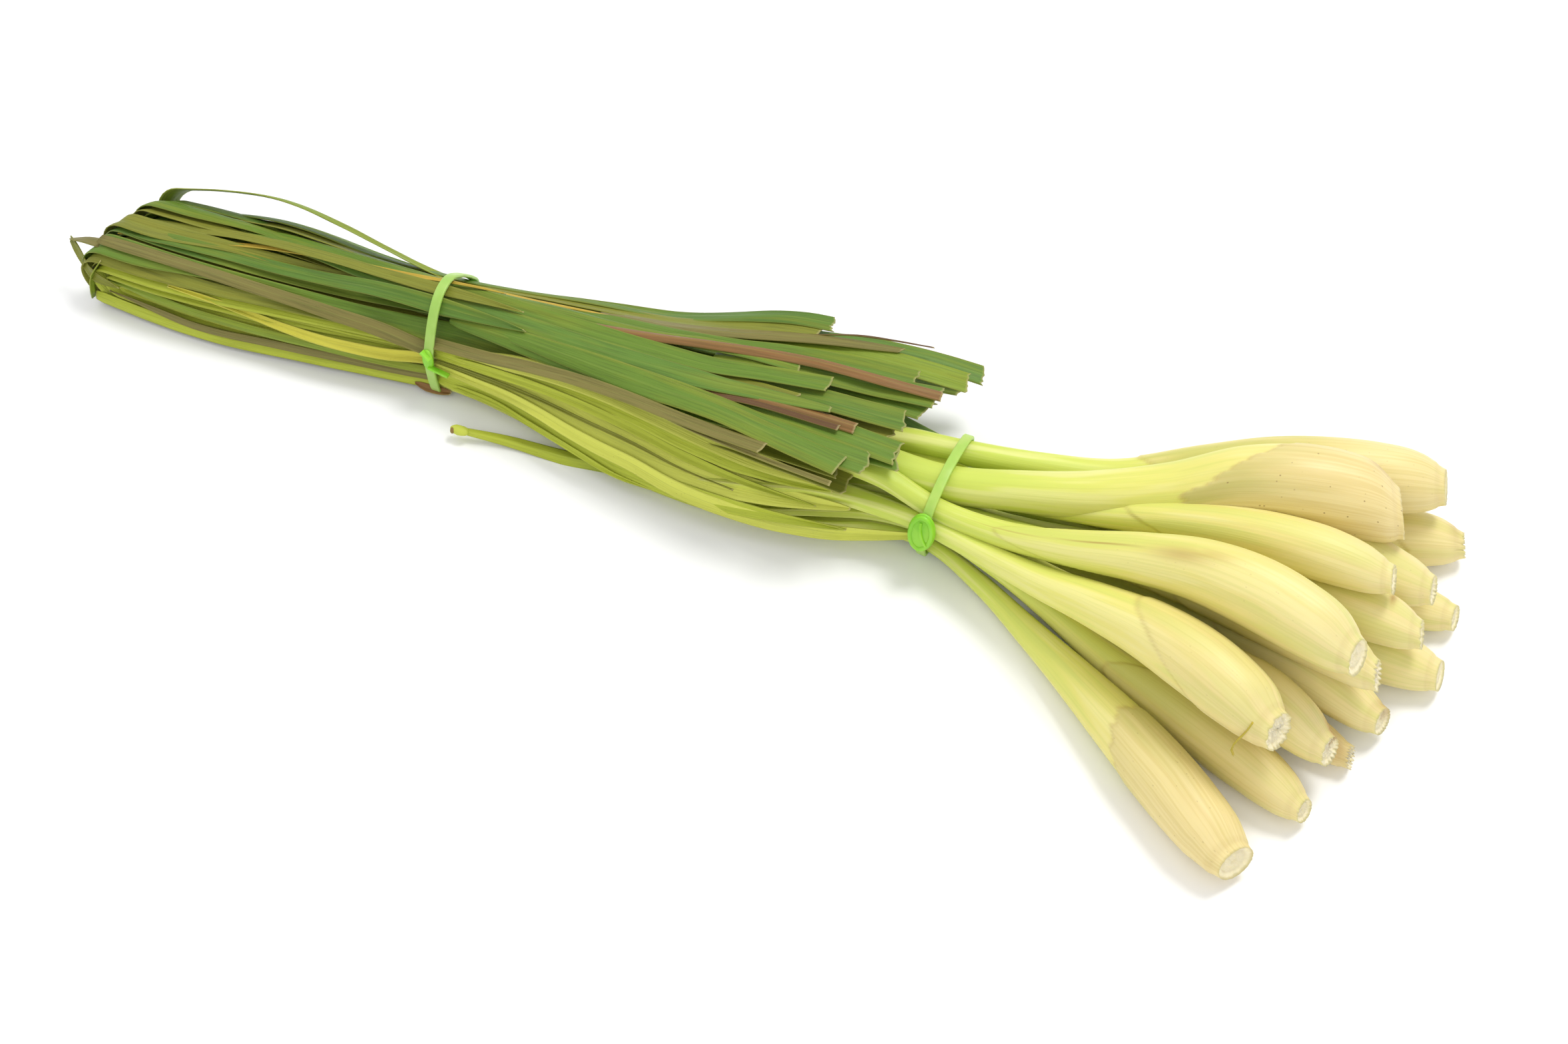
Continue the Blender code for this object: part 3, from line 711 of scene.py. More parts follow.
# For each stalk: distance of the torn edge of its outer sheath from the butt in millimetres,
# its slant, the angle where it reaches furthest (0 is the back, 90 the top, 180 the front),
# raggedness, dryness, and the butt: how far its face leans and how rough it is.
SHEATHS = {
    1: (70, 16, 60, 1.0, 0.6, 8, 0.3), 2: (46, 18, 190, 2.4, 0.9, -6, 0.4),
    3: (16, 5, 100, 2.5, 0.4, 5, 1.5), 4: (60, 12, 90, 0.4, 0.1, -4, 0.4),
    5: (52, 14, 60, 0.4, 0.15, 6, 0.6), 6: (40, 12, 120, 0.4, 0.15, 10, 0.3),
    7: (34, 8, 150, 1.0, 0.15, -5, 0.6), 8: (60, 15, 100, 0.4, 0.1, 4, 0.2),
    9: (72, 30, 120, 0.3, 0.1, 3, 0.4), 10: (45, 10, 160, 0.8, 0.15, -8, 1.5),
    11: (40, 9, 100, 0.8, 0.25, 12, 0.4), 12: (30, 9, 150, 1.2, 0.3, 4, 1.0),
    13: (14, 4, 120, 2.0, 0.9, -6, 2.4), 14: (31, 17, 70, 0.4, 0.35, 6, 1.4),
    15: (48, 16, 150, 0.4, 0.35, -5, 0.4), 16: (40, 8, 80, 1.8, 0.75, 10, 0.4),
}
# Brown marks on a skin: distance from the butt, angle, half length, half width, strength.
MARKS = {
    9: ((72, 108, 34, 1.6, 0.75), (50, 112, 8, 16, 0.5), (42, 96, 5, 9, 0.3)),
    2: ((44, 195, 9, 20, 0.35), (6, 60, 3, 12, 0.5)), 12: ((2, 30, 4, 22, 0.9),),
    11: ((1, 20, 2, 60, 0.6),), 13: ((5, 120, 6, 50, 0.5),), 7: ((9, 70, 1, 26, 0.8),),
    1: ((40, 120, 16, 8, 0.2),), 14: ((22, 75, 12, 9, 0.12),), 16: ((18, 95, 9, 20, 0.15),),
    3: ((3, 60, 2, 60, 0.3),), 15: ((26, 95, 10, 22, 0.14),),
}
# How speckled the outer sheaths of some stalks are.
SPECKLED = {2: 0.7, 1: 0.2, 16: 0.3, 14: 0.15, 9: 0.15, 5: 0.2}
print("torn sheaths:", len(SHEATHS), "brown marks:", sum(map(len, MARKS.values())))


# %% Edges, folds and marks round a stalk


def waves(seed, count, low, high):
    """Random sines, to be summed: (frequency, phase, size)."""
    rng = random.Random(seed)
    return [(rng.uniform(low, high), rng.uniform(0.0, 2 * math.pi), rng.uniform(0.5, 1.0))
            for _ in range(count)]


def sum_waves(terms, x):
    total = sum(size * np.sin(frequency * x + phase) for frequency, phase, size in terms)
    return total / len(terms)


def stalk_rings(strand):
    """For each ring of a stalk, from its butt to the band where its leaves part: x, y, z,
    half width, half height, slope, distance from the butt, and how flat it is."""
    butt_x = strand["row"][1]
    xs = np.concatenate((np.arange(butt_x, NECK_X, -BULB_STEP),
                         np.arange(NECK_X, LEAF_BAND_X - 2.0, -SHEATH_STEP)))
    stations = stalk_stations(butt_x) + going_stations(strand["fold"])
    lines = [through(strand[key], stations, xs)
             for key in ("y", "z", "half_width", "half_height")]
    run = run_along(np.stack((xs, lines[0]), axis=1))
    flat = ease(xs, NECK_X, NECK_X - FLATTENING)
    return zip(xs, *lines, np.gradient(lines[0], xs), run, flat)


def torn_edge(number):
    """How far from the butt the outer sheath ends, all round the stalk."""
    mouth, slant, furthest, ragged = SHEATHS[number][:4]
    tear = ragged * (sum_waves(waves(number, 6, 3, 14), ANGLE) * 1.6
                     + 0.6 * sum_waves(waves(number + 50, 5, 14, 26), ANGLE))
    return mouth + slant * np.cos(ANGLE - math.radians(furthest)) + tear


def soft_folds(number, x):
    """The folds that run along a flattened sheath, all round one of its rings."""
    wander = sum_waves(waves(number + 150, 3, 0.02, 0.06), x) * 1.2
    return sum_waves(waves(number + 100, 3, 2.0, 4.5), COSINE * 2.2 + wander + number)


def stains(number, run):
    """How strong the brown marks are, all round one ring."""
    stain = np.zeros(STALK_SIDES)
    for place, turn, half_length, half_width, strength in MARKS.get(number, ()):
        aside = (np.degrees(ANGLE) - turn - MARK_TWIST * (run - place) + 180) % 360 - 180
        spot = ((run - place) / half_length) ** 2 + (aside / half_width) ** 2
        stain = np.maximum(stain, strength * np.exp(-spot))
    return stain


def squared(values, power):
    """A circle's coordinates, pushed out towards a rounded square."""
    return np.sign(values) * np.abs(values) ** power


# %% The surface of a stalk


def stalk_surface(strand):
    """Points and masks of a stalk's skin, ring by ring."""
    number = strand["row"][0]
    dryness, face_lean, rough = SHEATHS[number][4:]
    edge = torn_edge(number)
    fray = 0.7 * rough * sum_waves(waves(number + 200, 7, 9, 31), ANGLE)
    points, masks = [], []
    for x, y, z, wide, tall, slope, run, flat in stalk_rings(strand):
        inside = edge - run
        proud = ease(inside, -0.4, 0.5)
        length = math.hypot(1.0, slope)
        wide /= length
        # the outer sheath stands proud, the butt's end is rounded, and the last sheaths
        # stop just short of the cut
        grow = SHEATH_STEP_UP * (proud - 0.5) * (1 - flat)
        grow -= wide * BUTT_ROUND * (1 - ease(run, 0.0, BUTT_BEND))
        grow -= BUTT_STEP * (1 - ease(run, BUTT_CORE - 0.5, BUTT_CORE + 0.5))
        power = 2.0 / (2.0 + 4.0 * flat)
        across = (wide + grow) * squared(COSINE, power)
        fold = soft_folds(number, x)
        up = (tall + 0.12 * flat + grow) * squared(SINE, power)
        up = up + FOLD_DEEP * fold * flat * (SINE > 0)
        # the butt's cut leans sideways and back, and its edge is frayed
        fade = max(1 - run / FACE_FADE, 0.0)
        skew = math.tan(math.radians(face_lean)) * fade
        px = x - slope / length * across + skew * across - CUT_BACK * fade * up
        px = px + fray * (1 - ease(run, 0.0, FRAY))
        points.append(to_scene(px, y + across / length, z + up).tolist())
        rim = (0.45 + 0.55 * dryness) * np.exp(-((inside + 0.2) / 0.7) ** 2) * (1 - flat)
        grain = np.stack((COSINE + number * 3.7, SINE + number * 1.9,
                          np.full(STALK_SIDES, run * MM / SKIN_LENGTH)), axis=1)
        masks.append({
            "grain": grain, "freshness": min(run / 150.0, 1.0) * 0.85 + 0.15 * flat,
            "dry": proud * dryness * (1 - flat),
            "rim": np.maximum(rim, 0.35 * math.exp(-((run - BUTT_CORE) / 0.6) ** 2)),
            # painted shade: darker where the soft folds dip, in the troughs of the flattened
            # sheath
            "crease_shade": np.clip(-fold * 2.2 - 0.25, 0.0, 1.0) * flat,
            "stain": stains(number, run),
            "specks": SPECKLED.get(number, 0.0) * (1 - flat) * proud, "cut": 0.0})
    return points, masks


# %% The mesh of a stalk


def add_ring(build, ring, values):
    """Add the points of a ring and what each of them carries."""
    verts = [build.verts.new(place) for place in ring]
    layer = build.verts.layers.float_vector["grain"]
    for vert, grain in zip(verts, values["grain"]):
        vert[layer] = grain
    for name in SKIN_MASKS:
        layer = build.verts.layers.float[name]
        for vert, value in zip(verts, np.broadcast_to(values[name], STALK_SIDES)):
            vert[layer] = float(value)
    return verts


def join_rings(build, ring, after):
    for side in range(STALK_SIDES):
        beside = (side + 1) % STALK_SIDES
        build.faces.new((ring[side], ring[beside], after[beside], after[side]))


def close_butt(build, number, points, values, face):
    """The rough cut face of a butt, ring inside ring."""
    rough = SHEATHS[number][6]
    outer = [Vector(place) for place in points[0]]
    middle = sum(outer, Vector()) / STALK_SIDES
    inward = (Vector(points[3][0]) + Vector(points[3][STALK_SIDES // 2])) / 2 - middle
    inward.normalize()
    rng = random.Random(number)
    terms = waves(number + 300, 6, 3, 12)
    for k in range(1, FACE_RINGS):
        share = 1.0 - k / FACE_RINGS
        dip = 0.35 * math.sin(k * 2.6) + 0.5 * min(k, 2)  # the rings of the sheaths
        ring = []
        for angle, place in zip(ANGLE, outer):
            bumpy = rough * 0.5 * (float(sum_waves(terms, angle * 2 + k)) + rng.uniform(-0.5, 0.5))
            ring.append(middle + (place - middle) * share + inward * (dip + bumpy) * MM)
        grain = [(number + k * 1.3, side * 0.35, k * 0.7) for side in range(STALK_SIDES)]
        made = add_ring(build, ring, {**values, "grain": grain, "cut": 1.0,
                                      "rim": 0.5 if k == 1 else 0.0})
        join_rings(build, made, face)
        face = made
    build.faces.new(list(reversed(face)))


def finish_mesh(name, build, material):
    """The mesh that was built, shaded smooth, with its material."""
    mesh = bpy.data.meshes.new(name)
    build.to_mesh(mesh)
    build.free()
    mesh.materials.append(material)
    mesh.shade_smooth()
    return mesh


def stalk_mesh(strand):
    """The skin, the rough cut face of the butt and a plain closing face at the other end."""
    number = strand["row"][0]
    points, masks = stalk_surface(strand)
    build = bmesh.new()
    for name in SKIN_MASKS:
        build.verts.layers.float.new(name)
    build.verts.layers.float_vector.new("grain")
    rings = [add_ring(build, ring, values) for ring, values in zip(points, masks)]
    for ring, after in zip(rings, rings[1:]):
        join_rings(build, ring, after)
    close_butt(build, number, points, masks[0], rings[0])
    build.faces.new(rings[-1])
    bmesh.ops.recalc_face_normals(build, faces=build.faces)
    return finish_mesh("stalk_%02d_tube" % number, build, STALK_SKIN)


# %% Loft all the stalks


def add_piece(name, mesh, node):
    """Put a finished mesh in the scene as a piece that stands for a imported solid."""
    piece = new_object(name, mesh)
    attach(piece, "root")
    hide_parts(node)


for strand in strands:
    name = "stalk_%02d" % strand["row"][0]
    add_piece(name + "_tube", stalk_mesh(strand), name)
print("stalks lofted:", len(strands))

# %% [markdown]
# ## Leaves
#
# A lemongrass leaf is a long strap, a centimetre wide and a third of a millimetre thick, with
# a midrib, fine parallel veins and edges that wave a little.  A plain strip is laid along
# each leaf's line first.  A Geometry Nodes tree then turns every strip into a leaf: it bends
# it along the midrib, ripples it and gives it its thickness.

# %% The tree that turns a strip into a leaf
RIPPLE_LANE = 7.3               # how far apart two leaves are in the noise that ripples them
RIPPLE_ACROSS = 0.55            # how far that noise goes from a midrib to an edge
RIPPLE_GAIN = 4.0               # noise stays close to its middle, so it is multiplied


def read(tree, name):
    """What a geometry tree reads from its mesh."""
    node = put(tree, "GeometryNodeInputNamedAttribute", {"Name": name}, data_type="FLOAT")
    return node.outputs["Attribute"]


def make_leaf_tree():
    tree, given, result = open_tree("leaf_from_strip", {
        "Ripple": 0.0003, "Ripple Length": 0.03, "Thickness": 0.0003, "Seed": 1.0})
    across, along, leaf, keel = (read(tree, name) for name in ("across", "along", "leaf", "keel"))
    # bent along the midrib
    side = maths(tree, "SUBTRACT", maths(tree, "ABSOLUTE", across), 0.5)
    bend = maths(tree, "MULTIPLY", side, keel)
    # rippled, every leaf in a lane of the noise that is its own
    lane = maths(tree, "MULTIPLY", maths(tree, "ADD", leaf, given["Seed"]), RIPPLE_LANE)
    length = maths(tree, "DIVIDE", along, given["Ripple Length"])
    width = maths(tree, "MULTIPLY", across, RIPPLE_ACROSS)
    place = put(tree, "ShaderNodeCombineXYZ", {0: width, 1: length, 2: lane})
    noise = put(tree, "ShaderNodeTexNoise",
                {"Vector": place.outputs[0], "Scale": 1.0, "Detail": 1.5, "Roughness": 0.4})
    wave = maths(tree, "SUBTRACT", noise.outputs["Fac"], 0.5)
    wave = maths(tree, "MULTIPLY", wave, given["Ripple"])
    rise = maths(tree, "ADD", bend, maths(tree, "MULTIPLY", wave, RIPPLE_GAIN))
    normal = put(tree, "GeometryNodeInputNormal")
    offset = put(tree, "ShaderNodeVectorMath", {0: normal.outputs[0], "Scale": rise},
                 operation="SCALE")
    shaped = put(tree, "GeometryNodeSetPosition",
                 {"Geometry": given["Geometry"], "Offset": offset.outputs[0]})
    # thickened: one side is raised, the other is turned to face down
    raised = put(tree, "GeometryNodeExtrudeMesh",
                 {"Mesh": shaped.outputs[0], "Offset Scale": given["Thickness"],
                  "Individual": False}, mode="FACES")
    under = put(tree, "GeometryNodeFlipFaces", {"Mesh": shaped.outputs[0]})
    joined = put(tree, "GeometryNodeJoinGeometry")
    for part in (raised, under):
        fill(tree, joined, {0: part.outputs["Mesh"]})
    whole = put(tree, "GeometryNodeMergeByDistance",
                {"Geometry": joined.outputs[0], "Distance": 0.00001})
    return close_tree(tree, given, result, whole.outputs[0])


LEAF_TREE = make_leaf_tree()
print("geometry tree:", LEAF_TREE.name, "inputs:",
      [item.name for item in LEAF_TREE.interface.items_tree if item.in_out == "INPUT"])


def set_inputs(modifier, values):
    """Set a Geometry Nodes modifier's inputs by the sockets' identifiers."""
    for item in modifier.node_group.interface.items_tree:
        if item.in_out == "INPUT" and item.name in values:
            modifier[item.identifier] = values[item.name]


def apply_tree(obj, tree, values, name):
    """The plain mesh that the tree makes of an object.  The object is removed."""
    modifier = obj.modifiers.new("tree", "NODES")
    modifier.node_group = tree
    set_inputs(modifier, values)
    graph = bpy.context.evaluated_depsgraph_get()
    mesh = bpy.data.meshes.new_from_object(obj.evaluated_get(graph))
    mesh.name = name
    bpy.data.objects.remove(obj)
    return mesh


# %% [markdown]
# ## Leaf colours
#
# Fresh leaves are a mid green, and some of them have a duller bloom.  Old ones have turned
# yellow, taupe or reddish brown.  Near the sheath all of them are pale yellow-green.  The
# strips say how green, how dull and how old a leaf is, and the veins do the rest.

# %% Leaf material


def make_leaf_skin():
    material, tree, shader = new_material("leaf_skin")
    made = fibres(tree, 7.0, 1.2, 0.8, 0.35)
    veins, patches = made["Veins"], made["Patches"]
    freshness, bloom, age, cut, across = (
        attribute(tree, name) for name in ("green", "bloom", "age", "cut", "across"))
    green = ramp(tree, freshness, (
        (0.0, srgb(216, 220, 96)), (0.25, srgb(190, 200, 64)), (0.5, srgb(146, 162, 46)),
        (0.75, srgb(108, 136, 38)), (1.0, srgb(86, 118, 36))))
    old = ramp(tree, age, (
        (0.0, srgb(138, 136, 48)), (0.2, srgb(132, 124, 44)), (0.3, srgb(206, 200, 74)),
        (0.42, srgb(190, 160, 58)), (0.6, srgb(124, 116, 60)), (0.85, srgb(136, 98, 54)),
        (1.0, srgb(98, 66, 38))))
    depth = step(tree, freshness, 0.0, 0.6, 0.25, 1.0)
    patchy = maths(tree, "MULTIPLY", depth, step(tree, patches, 0.3, 1.0, 0.0, 0.45))
    veiny = maths(tree, "MULTIPLY", depth, step(tree, veins, 0.4, 1.0, 0.0, 0.26))
    aside = maths(tree, "ABSOLUTE", across)
    # bloom, patches, age and veins, then the midrib, the edges, the cut end and specks
    colour = layered(tree, green, (
        (bloom, srgb(92, 128, 50)),
        (patchy, srgb(136, 142, 42)),
        (step(tree, age, 0.05, 0.3), old),
        (veiny, srgb(52, 66, 20)),
        (step(tree, aside, 0.12, 0.02, 0.0, 0.12), srgb(156, 174, 80)),
        (step(tree, aside, 0.9, 0.99, 0.0, 0.35), srgb(164, 164, 74)),
        (maths(tree, "MULTIPLY", cut, 0.6), srgb(198, 186, 128)),
        (maths(tree, "MULTIPLY", made["Specks"], 0.35), srgb(70, 54, 30))))
    finish_skin(tree, shader, colour, veins, 0.3, {
        "Roughness": step(tree, patches, 0.0, 1.0, 0.46, 0.64), "Specular IOR Level": 0.3})
    return material


LEAF_SKIN = make_leaf_skin()
print("material:", LEAF_SKIN.name)

# %% [markdown]
# ## Strips
#
# A strip is a row of cross lines along a leaf's path.  The last few millimetres are where
# the leaf was cut or torn, so each point across has an end of its own.

# %% Strip dimensions
LEAF_COLUMNS = 10               # faces across a strip
LEAF_ROW = 3.0                  # millimetres between the cross lines of a strip
FOLD_ROWS = 14                  # and round a fold
LEAF_THICK = 0.34 * MM
TORN = 6.0                      # the torn end takes up this much of a leaf
CUT_PALE = 0.3                  # and this much of it is pale
END_ROW = 0.22                  # the last row is split at this share, counted from its end
UNTAPERED = (1.0, 1.0)          # an end as wide as the leaf, over one millimetre
LEAF_FLOOR = 0.25               # no strip on the heap comes nearer to the floor
SHARES = np.linspace(-1.0, 1.0, LEAF_COLUMNS + 1)
print("a strip is", LEAF_COLUMNS, "faces wide")


# %% The path of a blade


def trace(stations, lines, start, end):
    """Rows (x, y, z, half width) of a path from x = start to x = end."""
    count = max(int(abs(end - start) / LEAF_ROW), 2)
    xs = np.linspace(start, end, count + 1)
    return np.stack([xs] + [through(line, stations, xs) for line in lines], axis=1)


def blade_rows(strand, blade):
    """Rows of a whole blade: out from its sheath, round its fold and back to its end.  Also
    the row where the fold starts, and the row where it ends."""
    fold, offset = strand["fold"], blade["offset"]
    stations = stalk_stations(strand["row"][1]) + going_stations(fold)
    out = trace(stations, (strand["y"], strand["z"] + offset, strand["half_width"] - 0.1),
                LEAF_BAND_X + BLADE_STEP, fold)
    root = ease(out[:, 0], LEAF_BAND_X, LEAF_BAND_X - 20.0)
    out[:, 2] -= 0.35 * offset * (1.0 - root)
    out[:, 3] *= 0.85 + 0.15 * root
    ends = back_stations(fold, blade["end"])
    back = trace(ends, (blade["y"], blade["z"], blade["half"]), fold, blade["end"])
    low, high = out[-1], back[0]
    bend = []
    for k in range(1, FOLD_ROWS):
        turn = math.pi * k / FOLD_ROWS
        row = low + (high - low) * (1 - math.cos(turn)) / 2
        row[0] = fold - FOLD_DEPTH * (high[2] - low[2]) / 2 * math.sin(turn)
        bend.append(row)
    return np.concatenate((out, bend, back)), len(out), len(out) + len(bend)


# %% From paths to a mesh of strips


def with_end_row(values):
    """One more row just before the last, so that the pale cut edge stays thin."""
    return np.insert(values, -1, values[-1] + (values[-2] - values[-1]) * END_ROW, axis=0)


def narrowing(way, end, taper):
    """How wide a leaf is, some way from an end that tapers: a share of its width."""
    return end + (1 - end) * np.minimum(way / taper, 1.0) ** 0.7


def strip_points(leaf, rows, run):
    """Where every point of a leaf's strip lies, row by row, in metres."""
    left = run[-1] - run
    torn = leaf["ragged"] * (sum_waves(waves(leaf["seed"], 5, 1.5, 5.0), SHARES) * 1.5
                             + sum_waves(waves(leaf["seed"] + 9, 5, 9.0, 24.0), SHARES))
    torn += leaf.get("skew", 0.0) * SHARES
    heading = np.gradient(rows[:, :3], axis=0)
    heading /= np.linalg.norm(heading, axis=1)[:, None]
    shift = heading[:, :, None] * torn * np.maximum(1.0 - left / TORN, 0.0)[:, None, None]
    x, y, z = (rows[:, axis, None] + shift[:, axis] for axis in range(3))
    narrow = narrowing(left, *leaf.get("tip", UNTAPERED))
    narrow *= narrowing(run, *leaf.get("root", UNTAPERED))
    across = (rows[:, 3] * narrow)[:, None] * SHARES
    tilt = with_end_row(np.broadcast_to(leaf.get("tilt", 0.0), len(rows) - 1))[:, None]
    y = y + across * np.cos(tilt)
    z = z + across * np.sin(tilt)
    if leaf.get("outside"):
        return (np.stack((x, y, z), axis=-1) - (*CENTRE, 0.0)) * MM
    return to_scene(x, y, z, LEAF_FLOOR)


def store(mesh, name, values):
    """Let a mesh carry one number at each of its points."""
    mesh.attributes.new(name, "FLOAT", "POINT").data.foreach_set("value", values)


def strip_object(name, leaves):
    """One mesh of all the given leaves, ready for the tree that makes leaves of strips."""
    vertices, faces, grains, masks = [], [], [], {}
    columns = len(SHARES)
    for leaf in leaves:
        rows = with_end_row(leaf["rows"])
        run = run_along(rows[:, :3])
        green, bloom, age = leaf["kind"]
        green = with_end_row(np.broadcast_to(leaf.get("green", green), len(rows) - 1))
        along = run[:, None] * MM
        carried = {"across": SHARES, "along": along, "leaf": leaf["seed"] % 97,
                   "keel": leaf.get("keel", 0.4) * MM, "green": green[:, None],
                   "bloom": bloom, "age": age,
                   "cut": (run[-1] - run < CUT_PALE)[:, None]}
        for key, value in carried.items():
            value = np.broadcast_to(value, (len(rows), columns))
            masks.setdefault(key, []).append(value.ravel().astype(float))
        grain = (SHARES * rows[:, 3:] / 3.0, leaf["seed"] * 0.37, along / SKIN_LENGTH)
        grains.append(np.stack(np.broadcast_arrays(*grain), axis=-1).ravel())
        base = len(vertices)
        vertices.extend(strip_points(leaf, rows, run).reshape(-1, 3).tolist())
        for k in range(len(rows) - 1):
            for place in range(LEAF_COLUMNS):
                corner = base + k * columns + place
                faces.append((corner, corner + columns, corner + columns + 1, corner + 1))
    mesh = bpy.data.meshes.new(name)
    mesh.from_pydata(vertices, [], faces)
    for key, values in masks.items():
        store(mesh, key, np.concatenate(values))
    grain = mesh.attributes.new("grain", "FLOAT_VECTOR", "POINT")
    grain.data.foreach_set("vector", np.concatenate(grains))
    return new_object(name, mesh)


def grow_leaves(name, leaves, seed):
    """Strips, then leaves."""
    return apply_tree(strip_object(name + "_strips", leaves), LEAF_TREE,
                      {"Ripple": 0.00026, "Ripple Length": 0.028, "Thickness": LEAF_THICK,
                       "Seed": float(seed), "Material": LEAF_SKIN}, name)


# %% The sixteen stalks' own leaves
LEAF_SWAY = 1.3                 # a leaf strays at most this far from its place, in millimetres
LEAF_ROLL = 0.18                # and is rolled by at most this, in radians
# Kinds of leaf: how green, how much bloom, how old.
KINDS = {
    "fresh": (0.85, 0.1, 0.0), "deep": (1.0, 0.3, 0.0), "light": (0.62, 0.0, 0.0),
    "blue": (0.85, 0.6, 0.0), "olive": (0.7, 0.0, 0.2), "yellow": (0.4, 0.0, 0.42),
    "lime": (0.3, 0.0, 0.0), "pale": (0.02, 0.0, 0.0), "straw": (0.2, 0.0, 0.3),
    "taupe": (0.6, 0.0, 0.6), "brown": (0.6, 0.0, 0.85), "dark": (0.6, 0.0, 1.0),
}
# The kinds of the lowest leaves in the front column, and of all the others.
LOWEST = ("lime", "light", "lime", "pale", "olive")
USUAL = ("fresh", "fresh", "deep", "deep", "light", "olive", "blue", "fresh", "olive")
FOLD_LIFT = (0.0, 1.5, 3.0, 4.5)  # for each column, in millimetres
SLIM_LEAVES = 3                 # this many leaves on top of each column are slim
ARCH_STALK = 3                  # one leaf of this stalk arches over the others:
ARCH_RISE = 5.5                 # it stands this much higher at its fold
ARCH_HALF = 2.3                 # and is nowhere narrower than this half width
ARCH_ROLL = 0.4                 # its roll there, in radians
print("kinds of leaf:", list(KINDS))


def rank_in_column(strand, level):
    """How many leaves lie on top of this one in its column."""
    column = [other for other in strands if other["row"][6] == strand["row"][6]]
    below = sum(len(other["blades"]) for other in column[:column.index(strand)])
    return below + len(strand["blades"]) - 1 - level


def stalk_leaf(strand, level):
    """One of a stalk's own leaves: a blade of the heap that lies a little loosely."""
    number, column = strand["row"][0], strand["row"][6]
    rng = random.Random(number * 10 + level)
    rows, turn, back = blade_rows(strand, strand["blades"][level])
    steps = np.arange(len(rows))
    x = rows[:, 0].copy()
    # past the band the topmost leaves of a column are narrower and lie askew on one another
    rank = rank_in_column(strand, level)
    share = rng.uniform(0.42, 0.66) if rank < SLIM_LEAVES else rng.uniform(0.8, 1.0)
    aside = (1.0 - share) * (-1) ** rank * rng.uniform(0.7, 1.0)
    far = ease(x, LEAF_BAND_X + 15.0, LEAF_BAND_X - 35.0)
    free = np.maximum(far, (steps > back) * ease(x, LEAF_BAND_X, LEAF_BAND_X + 40.0))
    loose = far * ease(steps, turn - 3.0, back) * (0.3 + 0.7 * ease(x, FOLD_X, FOLD_X + 34.0))
    phase = rng.uniform(0.0, 6.0)
    rows[:, 1] += aside * rows[:, 3] * loose
    rows[:, 3] *= 1.0 - (1.0 - share) * loose - 0.08 * free
    rows[:, 1] += free * np.sin(x / rng.uniform(24.0, 36.0) + phase) * rng.uniform(0.3, LEAF_SWAY)
    tilt = free * np.sin(x / 33.0 + phase) * rng.uniform(0.04, LEAF_ROLL)
    # the folds at the back stand higher
    returning = np.clip((steps - turn + 1.0) / (back - turn + 1.0), 0.0, 1.0)
    stand = ease(x, -150.0, -215.0) * returning
    rows[:, 2] += FOLD_LIFT[column] * stand
    rows[:, 1] += 0.35 * FOLD_LIFT[column] * stand
    kind = KINDS[rng.choice(LOWEST if column == 0 and rank >= SLIM_LEAVES else USUAL)]
    if number == ARCH_STALK and level == len(strand["blades"]) - 1:
        rows[:, 2] += ARCH_RISE * stand
        rows[:, 3] = np.maximum(rows[:, 3], ARCH_HALF)
        tilt = tilt + ARCH_ROLL * stand
        kind = KINDS["light"]
    # pale where it leaves its sheath, and green from the fold on
    going = np.clip((LEAF_BAND_X + 10.0 - x) / 100.0, 0.0, 1.0)
    green = np.where(steps < turn, 0.05 + (kind[0] - 0.05) * going, kind[0])
    return {"rows": rows, "seed": number * 10 + level, "ragged": rng.uniform(0.3, 1.3),
            "skew": rng.uniform(-1.6, 1.6), "tilt": tilt, "keel": rng.choice((-0.5, 0.4, 0.6)),
            "green": green, "kind": kind}


# %% [markdown]
# ## Loose leaves
#
# Some leaves don't keep to their places.  They were laid last, across the others.  Each of
# them is given as seen from above, and settles on whatever is beneath it.  The details are
# "tip" and "root", how an end tapers: to what share of the width, and over how many
# millimetres.  "ragged" and "skew" are how rough and how slanted its cut is, "keel" how much
# it is bent along its midrib, "tuck" how deep it starts, "lean" how much its end is raised,
# and "rise" a hump: where, how long and how high.

# %% Leaves laid on top of the heap
TUCK = 1.2                      # a loose leaf starts this far below the top of the heap
